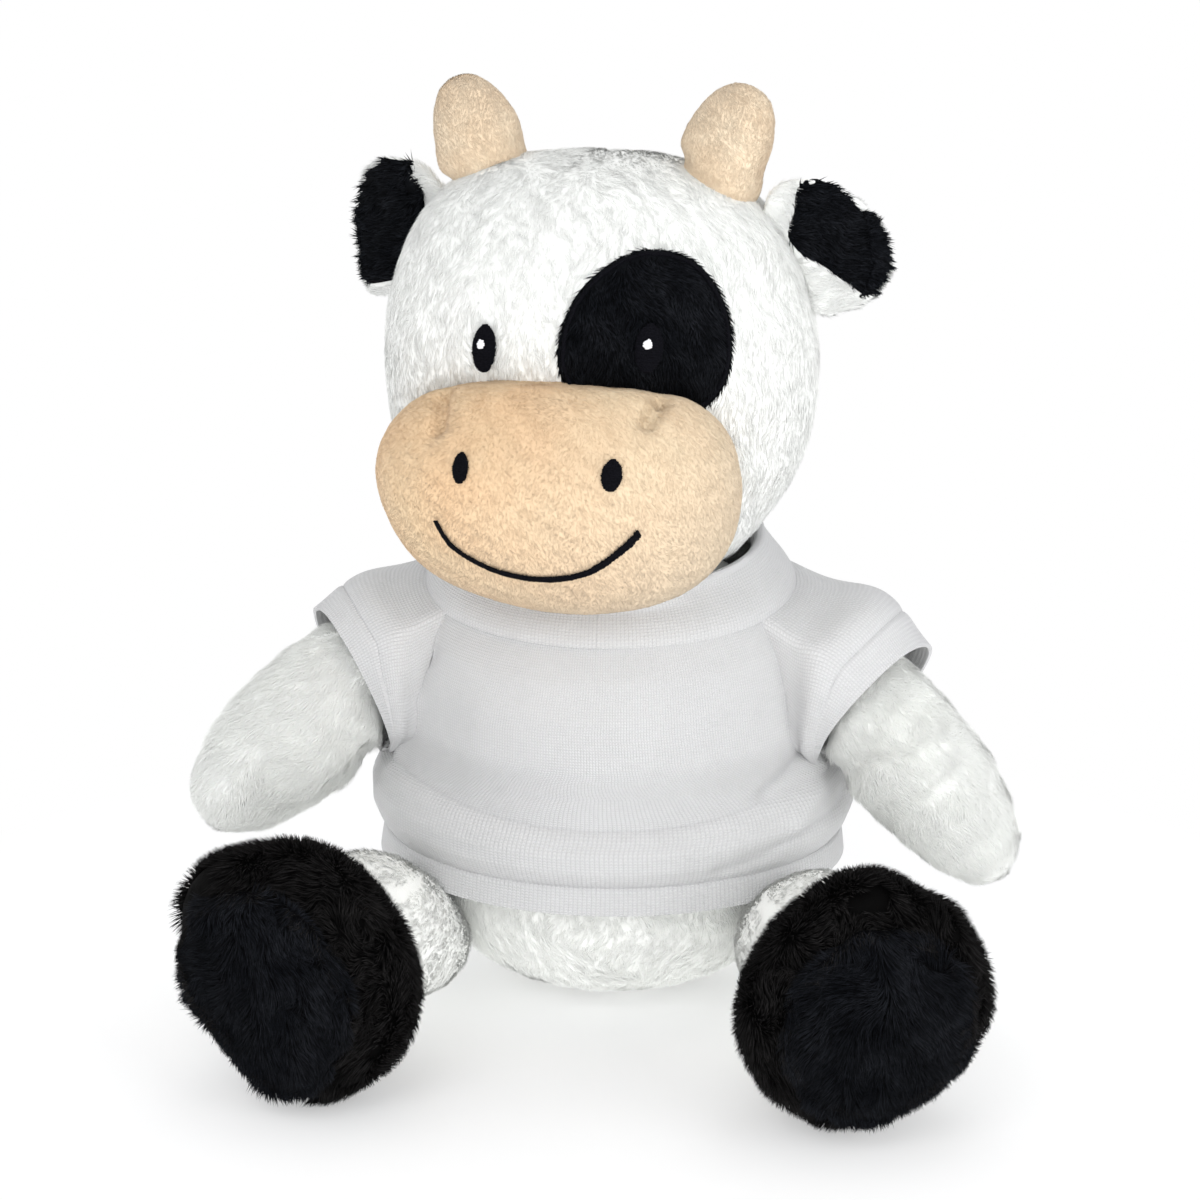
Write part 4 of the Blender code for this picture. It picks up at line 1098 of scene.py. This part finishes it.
def cuff_ring(name, over_arm):
    """The cuff's edge, a little wider than the arm inside it."""
    count, place = SLEEVE_COLUMNS, arm_place(name, CUFF_REACH)
    turns = math.pi / 2 - SIDES[name] * math.tau * np.arange(count) / count
    ways = [place.to_3x3() @ Vector((math.cos(t), math.sin(t), 0)) for t in turns]
    thick = [arm_trees[name].ray_cast(place.translation, way)[3] or ARM_WIDE / 2 for way in ways]
    thick = np.convolve(np.tile(thick, 3), np.ones(9) / 9, "same")[count:2 * count]
    radius = np.minimum(thick + ARM_PILE, ARM_WIDE / 2) + CUFF_EASE + CUFF_LIFT[name] * over_arm
    return np.array([place @ Vector((r * math.cos(t), r * math.sin(t), -CUFF_TILT[name] * over))
                     for r, t, over in zip(radius, turns, over_arm)])


def make_sleeve(name, knit):
    """A raglan sleeve: from its seams on the panels, over the shoulder to a hemmed cuff."""
    side, numbers = SIDES[name], np.arange(SLEEVE_COLUMNS)
    angle = math.tau * numbers / SLEEVE_COLUMNS
    over_arm = eased(1 - np.abs(1 - 2 * numbers / SLEEVE_COLUMNS))
    (root, seam), end = sleeve_root(side), cuff_ring(name, over_arm)
    start, ahead = np.array(shoulder(side)), np.array(arm_way(name))
    rows = []
    for share in np.linspace(0, 1, SLEEVE_ROWS):
        way = root + (end - root) * share
        out = unit(way - (start + ahead * CUFF_REACH * share))
        puff = 7 * MM * over_arm * share * (1 - share)
        puff += CROWN_PUFF[name] * over_arm * math.exp(-((share - 0.66) / 0.22) ** 2)
        gathers = np.sin(angle * 9 + 3 * share) * np.exp(-(angle / 0.9) ** 2)
        gathers += np.sin(angle * 9 - 3 * share) * np.exp(-((math.tau - angle) / 0.9) ** 2)
        hem = math.exp(-((share - HEM_PLACE) / 0.02) ** 2) * -0.4 * MM
        hem += (share > HEM_PLACE) * 0.2 * MM
        swell = puff + gathers * 1.2 * MM * share * (1 - share) * 3 + hem
        rows.append(way + out * swell[:, None])
    piece = knit_sheet("sleeve_knit_" + name, np.array(rows)[:, ::-side], closed=True)
    dress(piece, knit, None, "shirt_knit", "sleeve_" + name)
    "arm_plush_" + name
    "arm_" + name
    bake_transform(piece)


# Light and floor
FLOOR_SIDE, FLOOR_GLOW, FLOOR_DIM = 6, 0.46, 0.27
WORLD_STRENGTH = 0.68
LAMPS = (
    ("key", (-0.3, -0.9, 0.8), 0.8, 3.2),
    ("low_fill", (0.1, -1.2, 0.16), 0.9, 5.5),
    ("right_fill", (0.9, -0.7, 0.4), 0.9, 4.4),
    ("top", (0.1, 0.4, 1.2), 0.9, 2.2),
    ("back_fill", (-0.5, 1.1, 0.5), 0.9, 2.6),
)
LAMP_AIM = Vector((0, 0, 0.09))


def make_floor():
    bpy.ops.mesh.primitive_plane_add(size=FLOOR_SIDE)
    floor = bpy.context.object
    floor.name = "floor"
    finish = Finish("pale_floor", (0.86, 0.86, 0.86), 0.95, Specular_IOR_Level=0.1)
    grain = finish.noise(30 * MM)
    finish.set("Base Color", finish.blend(grain, (0.87, 0.87, 0.87), (0.85, 0.85, 0.855)))
    camera_ray = finish.node("ShaderNodeLightPath", output="Is Camera Ray")
    # The floor glows like a lamp: its emission lights the toy from below in place of light bounced
    # off the floor, and the camera sees a dimmer glow added to its lit colour.
    glow = finish.node("ShaderNodeEmission", {}, {
        "Color": (1, 1, 1, 1), "Strength": FLOOR_GLOW - camera_ray * FLOOR_DIM})
    lit = finish.node("ShaderNodeAddShader", {}, {
        0: Socket(finish, finish.shader.outputs[0]), 1: glow})
    away = finish.node("ShaderNodeVectorMath", {"operation": "LENGTH"}, {0: finish.place()},
                       output="Value")
    bare = finish.node("ShaderNodeEmission", {}, {"Color": (1, 1, 1, 1), "Strength": 1.0})
    distant = camera_ray * finish.span(away, 50 * MM, 170 * MM)
    spread = finish.node("ShaderNodeMixShader", {}, {0: distant, 1: lit, 2: bare})
    finish.tree.links.new(spread.link, finish.tree.nodes["Material Output"].inputs[0])
    floor.data.materials.append(finish.material)


def make_world():
    """Soft light from all round, seen as plain white."""
    world = bpy.data.worlds.new("studio")
    bpy.context.scene.world = world
    world.use_nodes = True
    tree = world.node_tree
    soft = tree.nodes["Background"]
    soft.inputs["Color"].default_value = (0.98, 0.99, 1, 1)
    soft.inputs["Strength"].default_value = WORLD_STRENGTH
    white = tree.nodes.new("ShaderNodeBackground")
    white.inputs["Color"].default_value = (1, 1, 1, 1)
    paths = tree.nodes.new("ShaderNodeLightPath")
    mix = tree.nodes.new("ShaderNodeMixShader")
    any_seen = paths.outputs["Is Camera Ray"]
    for ray in ("Is Glossy Ray", "Is Transmission Ray"):
        either = tree.nodes.new("ShaderNodeMath")
        either.operation = "MAXIMUM"
        tree.links.new(any_seen, either.inputs[0])
        tree.links.new(paths.outputs[ray], either.inputs[1])
        any_seen = either.outputs[0]
    for place, socket in enumerate((any_seen, soft.outputs[0], white.outputs[0])):
        tree.links.new(socket, mix.inputs[place])
    tree.links.new(mix.outputs[0], tree.nodes["World Output"].inputs[0])


def make_lamps():
    for label, place, size, power in LAMPS:
        lamp = bpy.data.lights.new(label, "AREA")
        lamp.shape = "DISK"
        lamp.size = size
        lamp.energy = power
        holder = as_piece(label, lamp)
        holder.location = place
        holder.rotation_euler = (Vector(place) - LAMP_AIM).to_track_quat("Z", "Y").to_euler()


camera = make_camera()
make_floor()
make_world()
make_lamps()
deselect()

# Outlines and places of the toy, in pixels of the photograph
MUZZLE_OUTLINE = ((370, 469), (383, 431), (408, 404), (436, 386), (470, 376), (501, 369), (557, 364),
                  (600, 369), (623, 377), (656, 379), (684, 390), (711, 408), (734, 437), (743, 477),
                  (740, 524), (730, 549), (711, 576), (690, 593), (646, 610), (585, 617), (531, 612),
                  (480, 598), (440, 580), (416, 564), (397, 538), (384, 508), (370, 469))
HEAD_OUTLINE = ((386, 408), (382, 350), (383, 309), (395, 262), (413, 217), (441, 181), (485, 161),
                (531, 150), (589, 146), (641, 147), (690, 156), (727, 170), (761, 190), (789, 234),
                (804, 257), (818, 315), (822, 361), (818, 419), (804, 466), (789, 492), (769, 518),
                (746, 538))
HORN_OUTLINES = {
    "right": ((441, 181), (433, 147), (432, 112), (441, 86), (459, 72), (476, 73), (499, 89),
              (517, 112), (528, 147)),
    "left": ((668, 148), (682, 124), (699, 101), (723, 84), (746, 82), (766, 95), (776, 115),
             (775, 141), (768, 164), (761, 186)),
}
EAR_OUTLINES = {
    "right": ((384, 304), (369, 299), (360, 289), (353, 263), (350, 228), (353, 185), (366, 164),
              (383, 153), (404, 153), (427, 161), (441, 179)),
    "left": ((757, 190), (788, 177), (816, 176), (829, 181), (848, 197), (861, 212), (880, 224),
             (893, 246), (895, 267), (888, 287), (876, 302), (862, 310), (820, 320), (812, 316)),
}
ARM_OUTLINES = {
    "right": ((333, 615), (276, 652), (234, 692), (205, 732), (188, 780), (191, 804), (205, 824),
              (253, 839), (295, 834), (333, 809), (358, 774), (374, 746)),
    "left": ((906, 654), (950, 697), (988, 746), (1010, 790), (1020, 844), (1017, 862), (1009, 876),
             (982, 890), (939, 876), (885, 844), (852, 811), (833, 757)),
}
FOOT_OUTLINES = {
    "right": ((302, 834), (256, 839), (206, 854), (175, 883), (171, 927), (171, 965), (179, 992),
              (204, 1034), (236, 1074), (267, 1101), (309, 1111), (342, 1101), (376, 1086),
              (407, 1053), (422, 1019), (425, 992), (422, 958), (407, 919), (390, 896), (370, 872),
              (338, 845), (302, 834)),
    "left": ((856, 859), (888, 870), (933, 887), (963, 907), (983, 939), (995, 978), (995, 1018),
             (981, 1053), (957, 1083), (918, 1111), (874, 1131), (848, 1132), (809, 1127),
             (775, 1103), (744, 1073), (732, 1028), (732, 998), (742, 963), (769, 923), (809, 887),
             (856, 859)),
}
PATCH_OUTLINE = ((556, 363), (560, 330), (570, 304), (583, 285), (600, 270), (622, 255), (646, 248),
                 (670, 250), (692, 258), (707, 271), (719, 289), (728, 310), (732, 331), (733, 352),
                 (730, 375), (722, 392), (709, 407), (690, 418), (660, 424), (620, 420), (585, 406),
                 (564, 388))
LINING_OUTLINES = {
    "right": ((383, 153), (396, 156), (404, 169), (409, 190), (411, 206), (415, 222), (408, 245),
              (396, 266), (380, 279), (362, 290), (353, 263), (350, 228), (353, 185), (366, 164)),
    "left": ((802, 174), (816, 176), (829, 181), (848, 197), (861, 213), (880, 224), (893, 246),
             (895, 267), (888, 287), (876, 301), (848, 283), (829, 270), (816, 262), (801, 255),
             (786, 237), (794, 212)),
}
DART_PIXELS = (((440, 392), (438, 408), (435, 426)), ((668, 384), (661, 399), (648, 420)))
DENT_PIXELS = (((291, 812), 4 * MM, 1.6 * MM), ((268, 806), 3 * MM, 0.9 * MM),
               ((962, 872), 4 * MM, 1.0 * MM))
SMILE = ((437, 520), (444, 533), (452, 544), (464, 553), (478, 561), (493, 568), (509, 573),
         (530, 577), (552, 578), (571, 576), (589, 571), (605, 562), (618, 552), (629, 543),
         (639, 532))

# Embroidered ovals: middle in pixels, half width, half height, lift off the plush, and seed
OVALS = {
    "eye_stitches_right": ((486.5, 348.5), 2.75 * MM, 4.5 * MM, 1.0 * MM, 3),
    "eye_stitches_left": ((647.5, 348.5), 2.75 * MM, 4.5 * MM, 1.7 * MM, 4),
    "glint_stitches_right": ((485.5, 344.5), 0.8 * MM, 0.8 * MM, 1.65 * MM, 5),
    "glint_stitches_left": ((645.5, 345), 0.85 * MM, 0.85 * MM, 2.35 * MM, 6),
    "nostril_stitches_right": ((461.5, 468.5), 1.75 * MM, 2.9 * MM, 0.5 * MM, 7),
    "nostril_stitches_left": ((611.5, 476), 2.1 * MM, 3.0 * MM, 0.5 * MM, 8),
}

# The head's middle seam, in its own directions, in millimetres
CROWN_LINE = ((-34, 29), (-24, 38), (-12, 43.5), (0, 45.5), (14, 43), (28, 35), (38, 22))

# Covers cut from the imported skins
HEAD_MIDDLE = HEAD_PLACE.translation
head = cut_skin("head", "head_plush", "head_skin")
muzzle = cut_skin("muzzle", "muzzle_plush", "muzzle_skin", HEAD_MIDDLE)
body = cut_skin("body", "body_plush", "body_skin")
arms, legs, feet, soles, horns, ears, linings = {}, {}, {}, {}, {}, {}, {}
for name in SIDES:
    foot_middle = centre_of("foot_stuffing_" + name)
    arms[name] = cut_skin("arm", "arm_plush_" + name, "arm_skin_" + name)
    legs[name] = cut_skin("leg", "leg_plush_" + name, "leg_skin_" + name, foot_middle)
    feet[name] = cut_skin("foot", "foot_plush_" + name, "foot_upper_" + name)
    soles[name] = cut_skin("sole", "sole_plush_" + name, "foot_sole_" + name, foot_middle)
    horns[name] = cut_skin("horn", "horn_plush_" + name, "horn_" + name, HEAD_MIDDLE)
    ears[name] = cut_solid("ear", "ear_plush_" + name, "ear_" + name)
    linings[name] = cut_solid("lining", "ear_lining_plush_" + name, "ear_lining_" + name)
tail = cut_solid("tail", "tail_plush", "tail")
tuft = cut_solid("tuft", "tail_tuft_plush", "tail_tuft")

# Stuffing, with the muzzle's two darts and the head's middle seam sewn down
muzzle_tree = tree_of(muzzle)
darts = [seen_line(line, muzzle_tree) for line in DART_PIXELS]
crown = [HEAD_PLACE @ Vector((0, y * MM, z * MM)) for y, z in CROWN_LINE]
stuff(muzzle, PILE_ROOM["muzzle"], lambda p: np.maximum(*(
    np.exp(-(along_line(p, line) / DART_HELD) ** 2) for line in darts)))
stuff(head, PILE_ROOM["head"], lambda p: np.exp(-(along_line(p, crown) / CROWN_HELD) ** 2) * 0.8)
stuff(body, PILE_ROOM["body"])
for name in SIDES:
    stuff(arms[name], PILE_ROOM["arm"], ease=ARM_EASE)
    stuff(legs[name], PILE_ROOM["leg"], ease=LEG_EASE)
    stuff(feet[name], PILE_ROOM["foot"])
    stuff(soles[name], PILE_ROOM["sole"], swell=SOLE_SWELL)
    stuff(horns[name], PILE_ROOM["horn"], swell=HORN_SWELL)
    fit([arms[name]], ARM_OUTLINES[name], STANDS_OUT["arm"])
    fit([feet[name], soles[name]], FOOT_OUTLINES[name], STANDS_OUT["foot"])
    fit([horns[name]], HORN_OUTLINES[name], STANDS_OUT["horn"])
    fit([ears[name], linings[name]], EAR_OUTLINES[name], STANDS_OUT["ear"], most=0.3)
fit([muzzle], MUZZLE_OUTLINE, STANDS_OUT["muzzle"])
fit([head], HEAD_OUTLINE, STANDS_OUT["head"])

# Sewn lines and dents
muzzle_tree = tree_of(muzzle)
for line in DART_PIXELS:
    for wide, deep in DART_GROOVES:
        groove(muzzle, seen_line(line, muzzle_tree), wide, deep)
groove(head, crown, *CROWN_GROOVE)
for pixel, wide, deep in DENT_PIXELS:
    for arm in arms.values():
        dent(arm, seen(*pixel, tree_of(arm))[0], wide, deep)

# Where pieces are sewn together they draw in
head_tree = tree_of(head)
for name in SIDES:
    tuck(horns[name], head_tree, *TUCKS["horn"])
    tuck(legs[name], tree_of(body), *TUCKS["leg"])
    tuck(body, tree_of(legs[name]), *TUCKS["body"])
    thin_root(arms[name], name)
tuck(muzzle, head_tree, *TUCKS["muzzle"])
tuck(head, tree_of(muzzle), *TUCKS["head"])
head_tree, muzzle_tree = tree_of(head), tree_of(muzzle)
arm_trees = {name: tree_of(arms[name]) for name in SIDES}

# Embroidery
eyes, glints, nostrils = (
    {name: satin_oval(kind + name, tree, *OVALS[kind + name]) for name in SIDES}
    for kind, tree in (("eye_stitches_", head_tree), ("glint_stitches_", head_tree),
                       ("nostril_stitches_", muzzle_tree)))
smile = satin_line("smile_stitches", muzzle_tree, SMILE, SMILE_WIDTHS, 0.45 * MM, 9)

# Finishes
black_thread = thread_finish("black_thread", (0.002, 0.002, 0.003), (0.008, 0.008, 0.011))
white_thread = thread_finish("white_thread", (0.9, 0.9, 0.92), (0.7, 0.7, 0.74))
# Two copies of the white plush, painted for the light they get: white_pile, for the well-lit head
# and ears, is darker, and the other, for the body, arms, legs and tail, is lighter to make up for
# the shade there.
white_pile = pile_finish("white_pile", (0.83, 0.84, 0.81), (0.895, 0.90, 0.885),
                         (0.87, 0.88, 0.86), 14 * MM, root_shade=0.25)
white_pile_lightened_for_shade = pile_finish("white_pile_lightened_for_shade", (0.91, 0.93, 0.88), (0.975, 0.98, 0.965),
                              (0.96, 0.97, 0.945), 12 * MM, root_shade=0.25)
peach_pile = muzzle_finish()
horn_pile = pile_finish("pale_peach_pile", (0.68, 0.50, 0.34), (0.76, 0.61, 0.44),
                        (0.83, 0.71, 0.54), 10 * MM, root_shade=0.2)
# Painted sheen: the black piles' tips are lighter than their roots, and blue_black_pile's tips are
# also bluer.
black_pile = black_finish("blue_black_pile", (0.0003, 0.0004, 0.0006), (0.050, 0.055, 0.068),
                          (0.018, 0.021, 0.028))
brown_pile = black_finish("brown_black_pile", (0.0004, 0.0004, 0.0004), (0.062, 0.059, 0.059),
                          (0.028, 0.027, 0.027))
knit = knit_finish("jersey_knit")
collar_knit = knit_finish("collar_jersey")


def applique(name, tree, outline, thick, rings=14, around=90):
    """A piece of plush sewn flat on another, its outline traced in photograph pixels."""
    outline = np.array(outline, float)
    middle = outline.mean(axis=0)
    closed = np.append(outline, outline[:1], axis=0) - middle
    turns = np.unwrap(np.arctan2(closed[:, 1], closed[:, 0]))
    reach = np.linalg.norm(closed, axis=1)
    if turns[-1] < turns[0]:
        turns, reach = turns[::-1], reach[::-1]
    spaced = turns[0] + math.tau * np.arange(around) / around
    edge = np.interp(spaced, turns, reach)
    kernel = np.array((0.25, 0.5, 0.25))
    edge = np.convolve(np.concatenate((edge[-1:], edge, edge[:1])), kernel, "valid")
    mesh = bmesh.new()
    rows = [[mesh.verts.new(seen(*middle, tree)[0] + seen(*middle, tree)[1] * thick)]]
    for ring in range(1, rings + 1):
        share = (ring / rings) ** 0.8
        row = []
        for turn, far in zip(spaced, edge):
            x, y = middle + np.array((math.cos(turn), math.sin(turn))) * far * share
            point, normal = seen(x, y, tree)
            lift = thick * min(1, ((1 - share) * far / 8) ** 0.5) - 0.2 * MM * (ring == rings)
            row.append(mesh.verts.new(point + normal * lift))
        rows.append(row)
    for i in range(around):
        j = (i + 1) % around
        mesh.faces.new((rows[0][0], rows[1][i], rows[1][j]))
        for low_row, high_row in zip(rows[1:], rows[2:]):
            mesh.faces.new((low_row[i], high_row[i], high_row[j], low_row[j]))
    bmesh.ops.recalc_face_normals(mesh, faces=mesh.faces)
    piece = from_bmesh(name, mesh)
    facing_camera = np.array(camera.location) - coords(piece).mean(axis=0)
    if (normals(piece).mean(axis=0) @ facing_camera) < 0:
        piece.data.flip_normals()
    apply(piece, "SOLIDIFY", thickness=thick, offset=-1)
    return piece


def ring_inside(outline, share):
    outline = np.array(outline, float)
    middle = outline.mean(axis=0)
    ring = middle + (outline - middle) * share
    return [tuple(point) for point in np.append(ring, ring[:1], axis=0)]


patch = applique("eye_patch_plush", head_tree, PATCH_OUTLINE, PATCH_THICK)
patch_tree = tree_of(patch)
border = satin_line("patch_border_stitches", patch_tree, ring_inside(PATCH_OUTLINE, BORDER_SHARE),
                    BORDER_WIDTHS, 0.25 * MM, 10)
for name in SIDES:
    bpy.data.objects.remove(linings[name])
    linings[name] = applique("ear_lining_plush_" + name, tree_of(ears[name]), LINING_OUTLINES[name],
                             LINING_THICK, rings=10, around=70)

# Pile
thread_tree = tree_of(*eyes.values(), *nostrils.values(), smile, border)
muzzle_closed = tree_of(muzzle)
grow_pile("head", head, (0.1, -0.25, -1), lambda p: (
    clear_of(thread_tree, 0.8 * MM)(p) * outside_of(muzzle_closed, -0.5 * MM)(p)
    * clear_of(patch_tree, 0.45 * MM)(p) * (p[:, 2] > 97 * MM)))
grow_pile("muzzle", muzzle, lambda p: p[:, :1] * (12, 0, 0) + (0, 0, -1), lambda p: (
    clear_of(thread_tree, 0.4 * MM)(p) * outside_of(head_tree, -0.8 * MM)(p)))
grow_pile("patch", patch, (0.1, -0.2, -1), lambda p: (
    clear_of(thread_tree, 0.5 * MM)(p) * (gap_to(head_tree, p) > 0.2 * MM)))
leg_trees = {name: tree_of(legs[name]) for name in SIDES}
grow_pile("body", body, (0, -0.2, -1), lambda p: (
    (p[:, 2] < HEM_HEIGHT + SEAM_RISE) * (p[:, 2] > 0.6 * MM)
    * outside_of(leg_trees["left"], -1 * MM)(p) * outside_of(leg_trees["right"], -1 * MM)(p)))
body_tree = tree_of(body)
for i, name in enumerate(SIDES):
    ahead, cuff = np.array(arm_way(name)), np.array(arm_place(name, CUFF_REACH).translation)
    foot_way = centre_of("foot_sole_" + name) - centre_of("leg_skin_" + name)
    foot_way.z = 0
    foot_way = np.array(foot_way.normalized())
    foot_tree, sole_tree = tree_of(feet[name]), tree_of(soles[name])
    foot_middle = np.array(centre_of("foot_stuffing_" + name))
    ear_way = (SIDES[name], 0.2, -0.2)
    grow_pile("arm", arms[name], tuple(ahead), lambda p: (
        (p - cuff) @ ahead > (-7 + 6 * (p[:, 2] < cuff[2])) * MM).astype(float), i)
    grow_pile("leg", legs[name], tuple(foot_way), lambda p: (
        outside_of(body_tree, -1 * MM)(p) * outside_of(foot_tree, -1 * MM)(p)), i)
    grow_pile("foot", feet[name], lambda p: foot_way * 0.6 + unit(p - foot_middle) * 0.5,
              lambda p: outside_of(sole_tree, -0.5 * MM)(p) * (p[:, 2] > 0.5 * MM), i)
    grow_pile("sole", soles[name],
              lambda p: unit(p - foot_middle - foot_way * 12 * MM) * 0.6 + np.array((0, 0, -1)),
              lambda p: (outside_of(foot_tree, -1.5 * MM)(p) * (p[:, 2] > 0.5 * MM)
                         * ((p - foot_middle) @ foot_way > 4 * MM)), i)
    grow_pile("horn", horns[name], (0, 0, 1), outside_of(head_tree, -0.6 * MM), i)
    lining_tree, ear_tree = tree_of(linings[name]), tree_of(ears[name])
    grow_pile("ear", ears[name], ear_way, lambda p: (
        outside_of(head_tree, -0.6 * MM)(p) * clear_of(lining_tree, 0.9 * MM)(p)), i)
    grow_pile("lining", linings[name], ear_way, lambda p: gap_to(ear_tree, p) > 0.15 * MM, i)
grow_pile("tail", tail, (0, 0.7, -0.7))
grow_pile("tuft", tuft, (0, 0.7, -0.7))

# Bodies, materials and what each piece stands for
dress(head, white_pile, "head", "white_plush", "head_skin", "head_stuffing")
dress(muzzle, peach_pile, "head", "peach_plush", "muzzle_skin", "muzzle_stuffing")
dress(patch, black_pile, "head", "black_plush", "eye_patch")
dress(body, white_pile_lightened_for_shade, "torso", "white_plush", "body_skin", "body_stuffing", "pellet_pouch")
dress(tail, white_pile_lightened_for_shade, "tail", "white_plush", "tail")
dress(tuft, black_pile, "tail", "black_plush", "tail_tuft")
dress(smile, black_thread, "head", "black_thread", "smile")
dress(border, black_thread, "head", "black_thread")
for name in SIDES:
    for pieces, finish, rides, slot, nodes in (
            (arms, white_pile_lightened_for_shade, "arm_" + name, "white_plush", ("arm_skin_", "arm_stuffing_")),
            (legs, white_pile_lightened_for_shade, "leg_" + name, "white_plush", ("leg_skin_", "leg_stuffing_")),
            (feet, brown_pile, "leg_" + name, "black_plush", ("foot_upper_", "foot_stuffing_")),
            (soles, black_pile, "leg_" + name, "black_plush", ("foot_sole_",)),
            (horns, horn_pile, "head", "peach_plush", ("horn_",)),
            (ears, white_pile, "head", "white_plush", ("ear_",)),
            (linings, black_pile, "head", "black_plush", ("ear_lining_",))):
        dress(pieces[name], finish, rides, slot, *(node + name for node in nodes))
    dress(eyes[name], black_thread, "head", "black_thread", "eye_" + name)
    dress(nostrils[name], black_thread, "head", "black_thread", "nostril_" + name)
    dress(glints[name], white_thread, "head", "white_thread", "eye_glint_" + name)
make_shirt_panels(knit)
make_collar(collar_knit)
for name in SIDES:
    make_sleeve(name, knit)

bpy.context.scene.view_settings.view_transform = "Standard"
